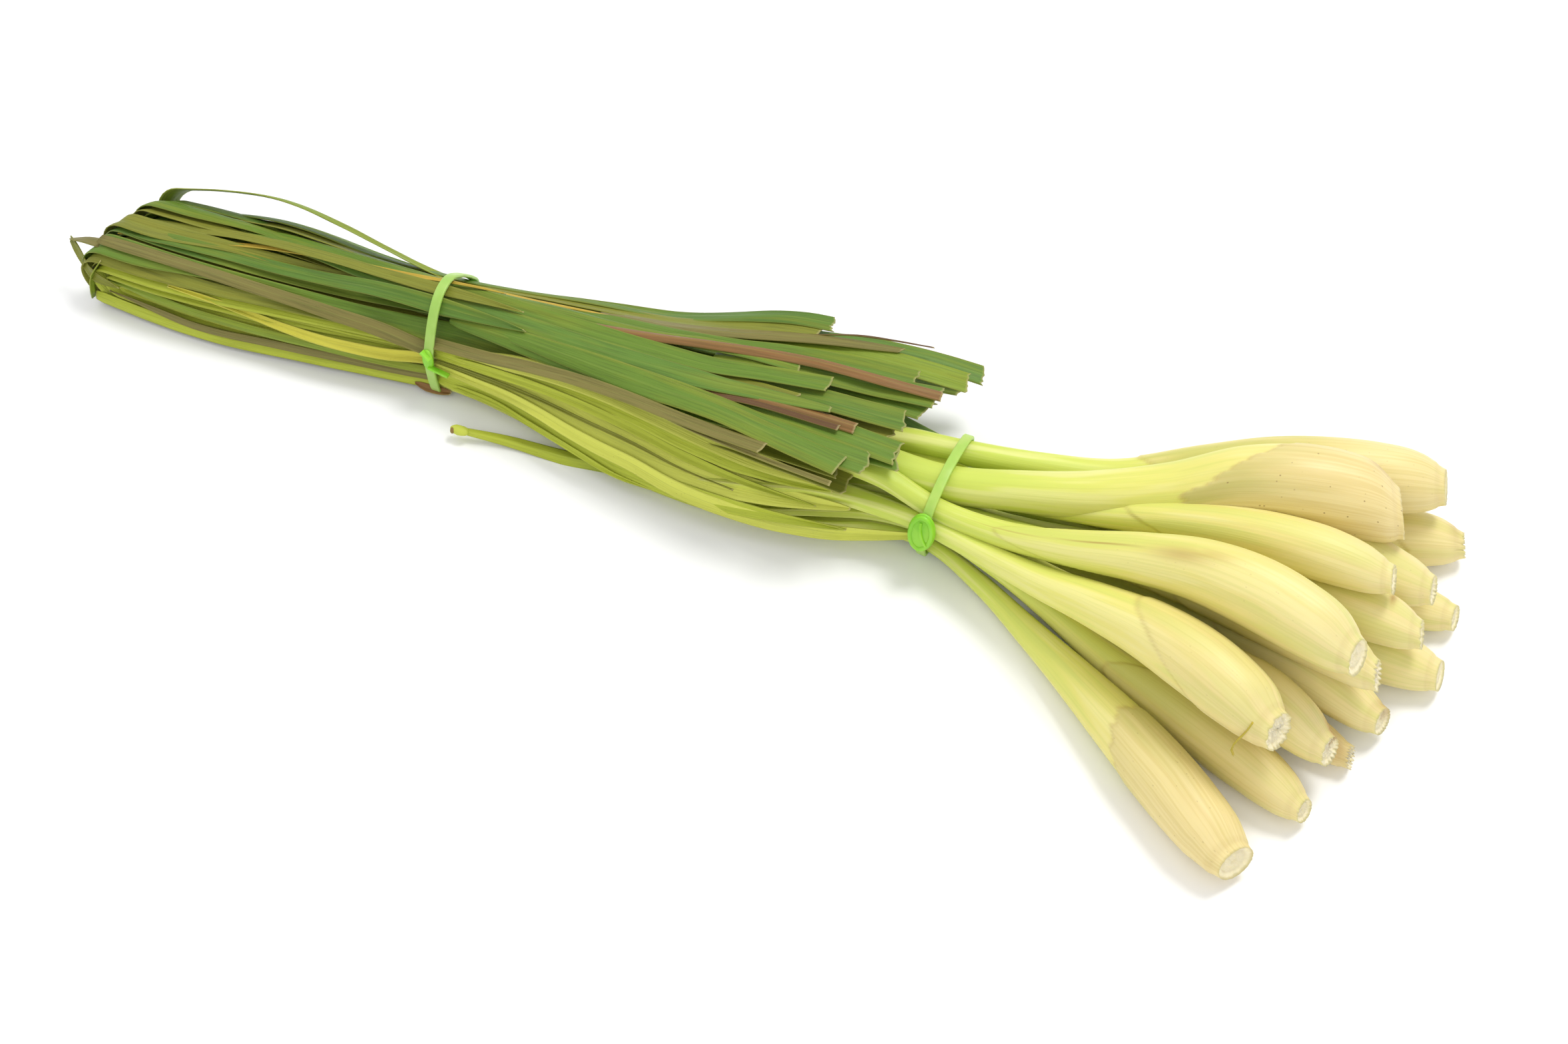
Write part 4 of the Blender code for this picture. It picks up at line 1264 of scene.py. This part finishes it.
# stalk, kind, half width, points (x, y) seen from above, and other details
LOOSE = (
    (3, "olive", 3.2, ((-236, 34), (-200, 36.5), (-160, 38), (-128, 39), (-100, 45.5),
     (-60, 54.5), (-18, 63)), {"ragged": 0.8, "rise": (-195, 26, 3.0), "root": (0.3, 12.0)}),
    (3, "deep", 3.2, ((-232, 38), (-200, 40.5), (-160, 42), (-128, 42.5), (-100, 50), (-60, 60),
     (-15, 69)), {"ragged": 0.8, "rise": (-200, 26, 4.5), "skew": -1.0, "root": (0.3, 12.0)}),
    (6, "taupe", 2.6, ((-84, 45), (-46, 51.8), (-16, 60), (8, 69)), {"tip": (0.35, 45.0),
     "root": (0.4, 20.0), "ragged": 0.5}),
    (6, "dark", 0.35, ((-22, 60), (-2, 67), (16, 74)), {"tip": (0.3, 20.0), "lean": 1.0}),
    (5, "yellow", 0.9, ((-240, 29), (-200, 34), (-150, 36), (-128, 36), (-100, 40), (-70, 44)),
     {"tip": (0.2, 30.0), "root": (0.1, 20.0), "ragged": 0.2}),
    (5, "fresh", 4.4, ((-92, 38), (-42, 43.5), (-18, 50), (17, 56)), {"root": (0.3, 30.0)}),
    (4, "fresh", 4.4, ((-40, 36), (-10, 43), (26, 53)), {"root": (0.5, 30.0), "ragged": 0.7}),
    (4, "fresh", 2.6, ((-238, 26), (-216, 34), (-170, 35), (-128, 33), (-90, 36), (-50, 39),
     (-14, 41)), {"tip": (0.7, 30.0), "root": (0.3, 10.0)}),
    (1, "brown", 1.9, ((-116, 25), (-99, 27), (-69, 33), (-40, 39), (10, 48.5), (27, 53)),
     {"root": (0.25, 40.0), "ragged": 0.2, "keel": -0.9}),
    (7, "fresh", 3.2, ((-210, 29), (-170, 30.5), (-128, 29), (-85, 28.5), (-34, 30), (-3, 39)),
     {"root": (0.3, 20.0), "ragged": 0.3}),
    (7, "fresh", 4.6, ((-95, 22.5), (-60, 22), (-20, 20.5), (25, 22)), {"root": (0.4, 30.0),
     "ragged": 1.1}),
    (10, "brown", 2.0, ((-40, 20), (-17, 23), (11, 25)), {"ragged": 0.2, "keel": -0.9}),
    (10, "dark", 1.1, ((-38, 18), (-14, 20.5), (7, 22)), {"ragged": 0.2}),
    (8, "blue", 3.3, ((-190, 27), (-160, 26), (-133, 24), (-80, 22.5), (-30, 23), (2, 28)),
     {"tip": (0.35, 40.0), "root": (0.2, 40.0), "ragged": 0.5}),
    (11, "fresh", 4.2, ((-122, 19.5), (-92, 18.5), (-43, 15.5), (-10, 13), (19, 14)),
     {"root": (0.12, 55.0), "ragged": 1.3}),
    (12, "fresh", 3.8, ((-110, 20.0), (-60, 16.6), (-25, 12.4), (13, 8.6)), {"root": (0.1, 55.0),
     "ragged": 0.15, "skew": 0.6}),
    (13, "yellow", 0.9, ((-240, 11), (-225, 16), (-197, 22), (-160, 27), (-128, 30), (-110, 34)),
     {"tip": (0.2, 30.0), "root": (0.1, 20.0), "ragged": 0.2}),
    (13, "olive", 1.9, ((-240, 19), (-200, 24), (-160, 25.5), (-128, 26), (-100, 27)),
     {"tip": (0.1, 30.0), "root": (0.3, 10.0)}),
    (15, "deep", 2.2, ((-236, 13), (-200, 17), (-160, 20), (-128, 21), (-96, 21)),
     {"tip": (0.1, 30.0), "root": (0.3, 10.0)}),
    (16, "taupe", 1.7, ((-243, 8), (-200, 9.5), (-161, 12.0), (-140, 13.0), (-126, 13.7)),
     {"root": (0.8, 10.0), "ragged": 0.1, "tuck": 0.0}),
)
print("loose leaves:", len(LOOSE))


def lay_loose(heap, points, half, details):
    """Rows of a loose leaf that settles on the heap."""
    xs, ys = np.array(points, float).T
    line = smooth(np.interp(HEAP_X, xs, ys), 2)
    halves = np.full(len(HEAP_X), half)
    stations = np.linspace(xs[0], xs[-1], max(int((xs[-1] - xs[0]) / 16.0), 2) + 1)
    active = (HEAP_X > xs[0] - 5.0) & (HEAP_X < xs[-1] + 5.0)
    z = settle(heap, line, halves, np.full(len(HEAP_X), 0.2), active, 40.0, 2, stations,
               lowest=8.0, gap=0.12)
    rows = trace(stations, (line, z, halves), xs[0], xs[-1])
    x = rows[:, 0]
    rows[:, 2] -= details.get("tuck", TUCK) * (1.0 - ease(x, xs[0], xs[0] + 16.0))
    middle, reach, height = details.get("rise", (0.0, 1.0, 0.0))
    rows[:, 2] += height * np.exp(-((x - middle) / reach) ** 2)
    rows[:, 2] += details.get("lean", 0.0) * ease(x, xs[0], xs[-1])
    return rows


def loose_leaf(place, entry):
    number, kind, half, points, details = entry
    rng = random.Random(place)
    rows = lay_loose(heap, points, half, details)
    return number, {"rows": rows, "seed": 300 + place, "ragged": 0.8, "kind": KINDS[kind],
                    "skew": rng.uniform(-0.8, 0.8),
                    "keel": rng.choice((-0.4, 0.5)) * min(half / 3, 1), **details}


# %% Leaves on the front face, and the creased tip
# The same, but placed at (x, y, z), with their tilt: 0 lies flat, and a right angle stands.
OUTSIDE = (
    # the long front leaf, its corner, and the tip that sticks out
    (16, "lime", 2.0, ((-126.8, 14.1, 3.6), (-149, 10.4, 3.4), (-179, 5.4, 3.4),
     (-207, 1.6, 3.2), (-232, 0.9, 3.2), (-253, 1.4, 3.6)), (1.2, 1.2), {"root": (0.8, 5.0),
     "tip": (0.8, 3.0)}),
    (16, "light", 1.5, ((-254, 1.6, 2.6), (-252.3, 1.2, 8), (-250, 1.4, 14), (-246, 3.0, 19.5)),
     (0.2, 0.2), {"root": (0.9, 3.0), "tip": (0.2, 4.0)}),
    # painted shade: a taupe strip laid low along the front, standing in for the grey-brown shade
    # there
    (16, "taupe", 1.4, ((-126.8, 13.7, 7.0), (-150, 9.8, 6.6), (-180, 4.9, 6.8),
     (-210, 1.2, 6.0), (-246, 1.6, 8.0)), (1.35, 1.35), {"tip": (0.05, 26.0)}),
    (15, "light", 1.4, ((-127.4, 13.2, 10.0), (-150, 9.6, 9.8), (-168, 6.4, 11.0),
     (-192, 3.2, 11.6), (-222, 1.6, 12.0), (-246, 2.6, 12.0)), (1.3, 1.1),
     {"tip": (0.05, 22.0)}),
    (15, "straw", 1.8, ((-126.8, 14.3, 14.8), (-132.2, 12.9, 14.8), (-142.5, 10.3, 14.0),
     (-152.3, 8.6, 13.8), (-165.3, 7.0, 13.9), (-179.7, 6.2, 14.6), (-194.3, 5.6, 16.2),
     (-207.3, 4.3, 18.0), (-220.0, 3.4, 18.6)), (0.95, 0.5), {"keel": -0.8, "tip": (0.1, 70.0)}),
    (12, "taupe", 2.0, ((-249, 8.0, 22.4), (-257, 9.0, 20.4), (-265, 10.0, 17.4)), (0.1, -0.5),
     {"tip": (0.55, 5.0), "keel": 0.2}),
    (12, "olive", 1.9, ((-265, 9.8, 17.0), (-258, 5.6, 15.4), (-251, 1.6, 13.6),
     (-240, 1.0, 12.0)), (0.8, 1.3), {"root": (0.55, 5.0), "tip": (0.1, 9.0)}),
    # the open sheaths between the bands, broad ones first
    (16, "lime", 3.2, ((-127.8, 13.6, 8.2), (-100, 12.0, 9.0), (-78, 8.2, 8.6), (-56, 4.0, 8.4),
     (-34, 2.4, 9.4), (-8, 4.0, 10.4), (16, 8.4, 10.6)), (1.25, 1.2), {"root": (0.5, 12.0),
     "tip": (0.05, 50.0), "keel": 0.9}),
    (12, "pale", 4.4, ((-127.8, 13.9, 15.0), (-104, 14.6, 16.4), (-84, 12.2, 16.2),
     (-62, 8.4, 14.6), (-38, 6.6, 14.2), (-10, 7.4, 15.0), (16, 11.0, 17.0)), (1.0, 0.7),
     {"root": (0.4, 12.0), "tip": (0.1, 40.0), "keel": 0.8}),
    (10, "lime", 2.6, ((-127.8, 14.7, 19.8), (-109, 14.9, 21.0), (-90.8, 14.8, 22.6),
     (-72.7, 13.6, 23.6), (-55, 12.2, 23.4), (-37.6, 10.4, 22.2), (-21, 9.9, 21.0),
     (-5.3, 10.6, 20.4), (9.9, 12.0, 20.6)), (0.95, 0.8), {"root": (0.4, 12.0),
     "tip": (0.1, 30.0), "keel": 0.6}),
    (14, "pale", 2.8, ((-118, 14.8, 21.0), (-91.2, 15.9, 24.2), (-67.3, 14.6, 26.2),
     (-49.6, 12.8, 26.2), (-32.3, 11.2, 25.6), (-15.8, 10.3, 24.8), (0.1, 10.3, 24.4),
     (13.5, 13.0, 23.2)), (0.8, 0.6), {"root": (0.2, 20.0), "tip": (0.1, 30.0), "keel": 0.6}),
    (9, "lime", 1.5, ((-127.8, 13.9, 17.4), (-106.8, 12.8, 19.8), (-90, 12.3, 20.9),
     (-72, 11.2, 21.2), (-54.4, 9.9, 20.2), (-36.7, 7.8, 18.8), (-19.9, 7.0, 17.8),
     (-9.1, 7.0, 17.5), (6.5, 7.8, 17.0)), (0.9, 0.8), {"root": (0.5, 20.0),
     "tip": (0.1, 40.0)}),
    (9, "olive", 0.6, ((-127.8, 13.2, 15.7), (-107, 12.4, 16.6), (-89.7, 11.2, 17.2),
     (-71.1, 9.1, 17.2), (-53.2, 7.3, 16.9), (-35.3, 5.1, 15.8), (-18.5, 4.6, 15.2)), (0.8, 0.8),
     {"root": (0.5, 20.0), "tip": (0.1, 40.0)}),
    (16, "lime", 1.0, ((-127.8, 13.6, 5.6), (-115.7, 12.4, 7.4), (-102.9, 11.3, 7.6),
     (-93.3, 9.2, 7.3), (-81.4, 6.9, 6.7), (-71.2, 4.9, 6.2), (-56.8, 2.2, 5.8),
     (-44.3, 1.7, 6.0)), (0.93, 1.0), {"root": (0.6, 20.0), "tip": (0.3, 20.0)}),
    (16, "pale", 2.5, ((-127.8, 12.6, 14.0), (-111.6, 11.6, 14.0), (-98, 10.6, 14.0),
     (-86.3, 8.7, 13.7), (-75.8, 6.6, 13.2), (-63.3, 4.6, 12.8), (-51.6, 3.5, 12.2),
     (-39.4, 1.9, 10.8), (-28.5, 1.6, 9.6), (-17.9, 2.2, 8.8), (-7.5, 3.4, 8.2), (2.3, 5.5, 7.8),
     (11.9, 7.8, 7.8), (21.1, 10.9, 8.2), (34.8, 15.5, 9.5)), (0.75, 0.9), {"root": (0.35, 90.0),
     "tip": (0.4, 30.0), "keel": 0.7}),
    # the front leaf that lies across all the others
    (16, "taupe", 1.9, ((-127.8, 14.2, 22.0), (-121.6, 13.8, 23.0), (-107.3, 12.7, 25.6),
     (-89, 11.9, 29.2), (-75, 11.2, 31.4), (-53.8, 9.8, 33.2), (-41.6, 8.6, 33.8),
     (-29.9, 7.0, 35.0), (-19, 6.1, 35.8), (-9.2, 5.5, 36.5)), (0.6, 0.25),
     {"ragged": 0.3, "skew": 0.8}),
    (15, "taupe", 0.8, ((-51.5, 10.0, 31.6), (-35.1, 6.5, 33.4), (-23.5, 4.8, 34.4),
     (-12.5, 3.6, 35.0), (-3.8, 2.8, 35.4), (3.5, 2.5, 35.6), (13.1, 2.4, 35.4)), (0.4, 0.2),
     {"root": (0.2, 20.0)}),
    (16, "brown", 1.3, ((-135, 12.2, 2.8), (-129.5, 12.6, 2.0), (-123, 13.8, 1.8)), (1.0, 0.6),
     {"root": (0.3, 3.0), "tip": (0.5, 3.0), "ragged": 0.3}),
    # a sheath between the two uppermost necks
    (1, "lime", 1.9, ((4, 40.0, 19.0), (15.5, 37.9, 19.4), (24.5, 36.8, 19.5), (32, 36.6, 19.6),
     (43, 37.6, 19.6)), (0.6, 0.6), {"root": (0.5, 8.0), "tip": (0.1, 12.0)}),
    # a rootlet at a butt
    (14, "brown", 0.4, ((140.0, -25.6, 35.6), (139.2, -26.9, 32.6), (137.9, -28.0, 29.4),
     (137.4, -28.6, 26.4), (138.4, -28.8, 24.2)), (0.2, 0.6), {"tip": (0.3, 4.0),
     "keel": 0.0, "kind": (0.2, 0.0, 0.38)}),
)
print("outer leaves and strips:", len(OUTSIDE))


def outside_leaf(place, entry):
    number, kind, half, points, (tilt, end_tilt), details = entry
    points = np.array(points, float)
    run = run_along(points)
    share = np.linspace(0.0, 1.0, max(int(run[-1] / LEAF_ROW), 6) + 1)
    curve = [smooth_line(points[:, axis], run, share * run[-1]) for axis in range(3)]
    rows = np.stack(curve + [np.full(len(share), half)], axis=1)
    return number, {"rows": rows, "seed": 400 + place, "ragged": 0.1, "kind": KINDS[kind],
                    "tilt": tilt + (end_tilt - tilt) * share, "outside": True, "keel": 0.3,
                    **details}


# %% The stub of a leaf
STUB_TIP = (0.16, 0.0, 0.0)     # the kind of leaf that its thickened tip is coloured like


def stub_leaf():
    """The torn stub of an outer leaf, beside the sheath of the front stalk."""
    strand = BY_NUMBER[STUB_STALK]
    points = []
    for x, aside, half in STUB:
        lift = STUB_RISE + STUB_LIFT * float(ease(x, SHEATH_END_X, STUB[-1][0]))
        points.append((x, at(strand["y"], x) + aside, at(strand["z"], x) + lift, half))
    points = np.array(points)
    run = np.arange(len(points), dtype=float)
    share = np.linspace(0.0, run[-1], 30)
    rows = np.stack([smooth_line(points[:, axis], run, share) for axis in range(4)], axis=1)
    return {"rows": rows, "seed": 500, "ragged": 0.1, "kind": KINDS["lime"], "keel": 1.6,
            "green": 0.5 - 0.3 * share / run[-1], "tilt": 0.5 + 0.3 * share / run[-1],
            "root": (0.6, 20.0), "tip": (0.5, 50.0)}


def knob(name, place, size, kind, node):
    """A small rounded lump, coloured like a kind of leaf."""
    build = bmesh.new()
    bmesh.ops.create_icosphere(build, subdivisions=3, radius=MM)
    bumps = waves(7, 5, 2.0, 5.0)
    for vert in build.verts:
        bulge = 1.0 + 0.25 * float(sum_waves(bumps, (vert.co.x + 2 * vert.co.y - vert.co.z) / MM))
        vert.co = Vector(place) + Vector(c * s for c, s in zip(vert.co, size)) * bulge
    mesh = finish_mesh(name, build, LEAF_SKIN)
    for key, value in zip(("green", "bloom", "age"), kind):
        store(mesh, key, [value] * len(mesh.vertices))
    add_piece(name, mesh, node)


# %% Grow every stalk's leaves
leaves_of = {strand["row"][0]: [stalk_leaf(strand, level) for level in
                                range(len(strand["blades"]))] for strand in strands}
loose_rows = []
for place, entry in enumerate(LOOSE):
    number, leaf = loose_leaf(place, entry)
    leaves_of[number].append(leaf)
    loose_rows.append(leaf["rows"])
for place, entry in enumerate(OUTSIDE):
    number, leaf = outside_leaf(place, entry)
    leaves_of[number].append(leaf)
stub = stub_leaf()
leaves_of[STUB_STALK].append(stub)
for name, aside, size, kind in (
        ("stalk_16_stub_tip", (0.4, -0.2, 0.2), (3.2, 1.8, 1.3), STUB_TIP),
        ("stalk_16_stub_scar", (-1.6, -0.9, 0.0), (0.9, 1.2, 1.0), KINDS["brown"])):
    knob(name, to_scene(*(stub["rows"][-1, :3] + aside), 1.2), size, kind, "stalk_16")
for number, leaves in leaves_of.items():
    name = "stalk_%02d_leaves" % number
    add_piece(name, grow_leaves(name, leaves, number), "stalk_%02d" % number)
print("leaves:", {number: len(leaves) for number, leaves in leaves_of.items()})

# %% [markdown]
# ## Rubber bands
#
# Each band is a soft, slightly see-through green rubber ring drawn tight round the bunch, so
# its path is the convex outline of what it holds.  A tree sweeps a rounded flat section
# along that path, and sweeps the loops of the knots too.

# %% The band tree and its material


def make_band_tree():
    tree, given, result = open_tree("sweep_band", {
        "Width": 0.004, "Thickness": 0.001, "Rounding": 0.0004})
    section = put(tree, "GeometryNodeCurvePrimitiveQuadrilateral",
                  {"Width": given["Thickness"], "Height": given["Width"]})
    rounded = put(tree, "GeometryNodeFilletCurve",
                  {"Curve": section.outputs[0], "Radius": given["Rounding"], "Count": 4},
                  mode="POLY")
    swept = put(tree, "GeometryNodeCurveToMesh",
                {"Curve": given["Geometry"], "Profile Curve": rounded.outputs[0],
                 "Fill Caps": True})
    return close_tree(tree, given, result, swept.outputs[0])


def make_rubber(name, colour, deep):
    material, tree, shader = new_material(name)
    where = put(tree, "ShaderNodeTexCoord")
    noise = put(tree, "ShaderNodeTexNoise",
                {"Vector": where.outputs["Object"], "Scale": 160.0, "Detail": 2.0})
    cloud = noise.outputs["Fac"]
    shade = layered(tree, colour, ((step(tree, cloud, 0.35, 0.65), deep),))
    finish_skin(tree, shader, shade, cloud, 0.15, {
        "Roughness": 0.38, "Transmission Weight": 0.25, "Subsurface Weight": 0.35,
        "Subsurface Radius": (0.7, 1.0, 0.3), "Subsurface Scale": 0.0015})
    return material


BAND_TREE = make_band_tree()
RUBBER = {"band_neck": make_rubber("band_rubber_pale", srgb(198, 228, 112), srgb(184, 222, 98)),
          "band_leaf": make_rubber("band_rubber", srgb(190, 226, 118), srgb(178, 220, 104))}
KNOT_RUBBER = make_rubber("knot_rubber", srgb(168, 236, 60), srgb(150, 226, 44))
print("geometry tree:", BAND_TREE.name, "materials:", len(RUBBER) + 1)

# %% What a band holds
BAND_TILT = 0.06                # a band leans this much: x gained for each z
BAND_SLANT = {"band_neck": 0.0, "band_leaf": -0.15}  # and x gained for each y
BAND_PIVOT = (0.004, 0.016)     # the y and z where it is at its own x, in metres
BAND_ROUND = 0.4                # rounding of a band's edges, in millimetres
BAND_SNUG = 0.4                 # share of a solid band's gap that is left under it
LEAF_ROOM = 0.6                 # room for a loose leaf's thickness and ripples
RING_WIDTH = {"band_neck": 3.0, "band_leaf": 3.2}
ROUND = [(math.cos(math.tau * k / 24), math.sin(math.tau * k / 24)) for k in range(24)]
FLAT = [(-1, -1), (-1, 1), (1, -1), (1, 1)]
print("a round stalk is held at", len(ROUND), "points, and a flat leaf at", len(FLAT))


def lean(name, y, z):
    """How far along the bunch a band has moved at (y, z), in metres."""
    return BAND_TILT * (z - BAND_PIVOT[1]) + BAND_SLANT[name] * (y - BAND_PIVOT[0])


def crossing(name, band_x, y, z):
    """The x at which a band crosses what lies at (y, z), in the heap's millimetres."""
    return band_x + lean(name, (y - CENTRE[1]) * MM, z * MM) / MM


def held_points(name, band_x, reach):
    """Corners of everything a band holds, where the band crosses it, as (y, z) in metres."""
    points = []
    corners = ROUND if band_x > SHEATH_END_X else FLAT
    for strand in strands:
        held = [[strand[key] for key in ("y", "z", "half_width", "half_height")]]
        if band_x < SHEATH_END_X:
            tall = np.full(len(HEAP_X), BLADE / 2)
            held += [[blade["y"], blade["z"], blade["half"], tall] for blade in strand["blades"]]
        for lines in held:
            middle = crossing(name, band_x, at(lines[0], band_x), at(lines[1], band_x))
            for x in (middle - reach, middle, middle + reach):
                y, z, wide, tall = (at(line, x) for line in lines)
                points.extend(to_scene(x, y + across * wide, z + up * tall)
                              for across, up in corners)
    for rows in loose_rows:
        for x, y, z, half in rows:
            if abs(x - crossing(name, band_x, y, z)) < reach:
                points.extend(to_scene(x, np.array((y - half, y + half)), z + LEAF_ROOM))
    return np.array(points)[:, 1:]


# %% The path of a band, and sweeping along a path
BAND_CLEAR = 0.15               # a band stays this far off the floor, in millimetres
BAND_EVEN = 9                   # its outline is averaged over this many directions
BAND_EASE = 2                   # and over this many points to each side, twice


def band_path(name, band_x, reach, count=180):
    """A smooth loop of points round what the band holds, as (y, z) in metres."""
    held = held_points(name, band_x, reach)
    angles = 2 * np.pi * np.arange(count) / count
    normals = np.stack((np.cos(angles), np.sin(angles)), axis=1)
    support = (held @ normals.T).max(0) + (BAND_GAP * BAND_SNUG + BAND_THICK / 2) * MM
    support = np.convolve(np.concatenate((support[-BAND_EVEN:], support, support[:BAND_EVEN])),
                          np.ones(BAND_EVEN) / BAND_EVEN, mode="same")[BAND_EVEN:-BAND_EVEN]
    turn = np.gradient(np.concatenate((support[-2:], support, support[:2])))[2:-2]
    turn /= angles[1] - angles[0]
    tangents = np.stack((-normals[:, 1], normals[:, 0]), axis=1)
    loop = normals * support[:, None] + tangents * turn[:, None]
    # evenly spaced points, with the corners eased and nothing under the floor
    ring = np.concatenate((loop, loop[:1]))
    run = run_along(ring)
    where = np.linspace(0.0, run[-1], count, endpoint=False)
    loop = np.stack([np.interp(where, run, ring[:, axis]) for axis in (0, 1)], axis=1)
    shifts = range(-BAND_EASE, BAND_EASE + 1)
    for _ in range(2):
        loop = sum(np.roll(loop, shift, axis=0) for shift in shifts) / len(shifts)
    loop[:, 1] = np.maximum(loop[:, 1], (BAND_THICK / 2 + BAND_CLEAR) * MM)
    # the highest point comes first: there the section's own axes lie level
    return np.roll(loop, -int(loop[:, 1].argmax()), axis=0)


def sweep(name, points, cyclic, width, thick, rounding, material, turned=0.0):
    """Sweep a flat section, turned about the path by an angle, along points in metres."""
    curve = bpy.data.curves.new(name, "CURVE")
    curve.dimensions = "3D"
    spline = curve.splines.new("POLY")
    spline.points.add(len(points) - 1)
    for point, place in zip(spline.points, points):
        point.co = (*place, 1.0)
        point.tilt = turned
    spline.use_cyclic_u = cyclic
    return apply_tree(new_object(name, curve), BAND_TREE,
                      {"Width": width * MM, "Thickness": thick * MM,
                       "Rounding": rounding * MM, "Material": material}, name)


# %% Knots
# For each band: the way its knot faces, as an angle round the bunch (180 is the front),
# and the knot's width, length and thickness.
KNOTS = {"band_neck": (165.0, 8.2, 12.8, 3.2), "band_leaf": (172.0, 4.0, 7.6, 2.0)}
KNOT_NEAR = 0.0002              # it sits amid the points this near to the outermost, in metres


def knot_place(name, loop, middle, angle):
    """The turn and move that lay a knot flat against its band, facing at an angle."""
    out = Vector((0.0, math.cos(math.radians(angle)), math.sin(math.radians(angle))))
    side = loop @ np.array(out[1:])
    y, z = loop[np.flatnonzero(side > side.max() - KNOT_NEAR)].mean(0)
    along = Vector((1.0, 0.0, 0.0))
    turn = Matrix((along, out.cross(along), out)).transposed().to_4x4()
    place = Vector((middle + lean(name, y, z), y, z)) + out * (BAND_THICK / 2 * MM)
    return Matrix.Translation(place) @ turn


def knot_lump(name, size):
    build = bmesh.new()
    bmesh.ops.create_uvsphere(build, u_segments=40, v_segments=20, radius=1.0)
    for vert in build.verts:
        vert.co = Vector(c * s / 2 for c, s in zip(vert.co, size)) * MM
    return finish_mesh(name + "_lump", build, KNOT_RUBBER)


def knot_strands(name, wide, long):
    """The strands on a knot: label, points, whether it is a loop, width, thickness, rounding."""
    if name == "band_neck":
        oval = [(0.38 * wide * MM * math.cos(t), 0.41 * long * MM * math.sin(t), 0.0003)
                for t in np.linspace(0.0, math.tau, 64, endpoint=False)]
        tongue = [(wide * MM * (-0.04 + 0.3 * t * t), long * MM * (0.3 - 0.56 * t),
                   0.0009 + 0.0005 * math.sin(math.pi * t)) for t in np.linspace(0, 1, 24)]
        return ("_loop", oval, True, 2.3, 1.5, 0.6), ("_tongue", tongue, False, 1.6, 0.9, 0.35)
    tail = np.linspace((0.0004, -0.0022, 0.0006), (0.0070, -0.0038, -0.0002), 16)
    pinch = np.linspace((-0.0014, 0.0034, 0.0010), (0.0016, 0.0012, 0.0010), 16)
    return ("_tail", tail, False, 2.0, 0.8, 0.3), ("_pinch", pinch, False, 2.2, 0.8, 0.3)


def tie_knot(name, loop, middle):
    """The lump of a band's knot and the strands on it, flat against the front of the band."""
    angle, *size = KNOTS[name]
    parts = {"_lump": knot_lump(name, size)}
    for label, *strand in knot_strands(name, *size[:2]):
        parts[label] = sweep(name + label, *strand, KNOT_RUBBER)
    place = knot_place(name, loop, middle, angle)
    for label, mesh in parts.items():
        mesh.transform(place)
        add_piece(name + label, mesh, name)


# %% Put both bands round the bunch
# For each band: where it is, and how far to each side it holds what it crosses.
for name, (band_x, reach) in {"band_neck": (NECK_X, 3.0), "band_leaf": (LEAF_BAND_X, 4.0)}.items():
    loop = band_path(name, band_x, reach)
    middle = (band_x - CENTRE[0]) * MM
    points = [(middle + lean(name, y, z), y, z) for y, z in loop]
    mesh = sweep(name + "_ring", points, True, RING_WIDTH[name], BAND_THICK, BAND_ROUND,
                 RUBBER[name], math.pi / 2)
    add_piece(name + "_ring", mesh, name)
    tie_knot(name, loop, middle)
print("bands swept:", list(KNOTS))
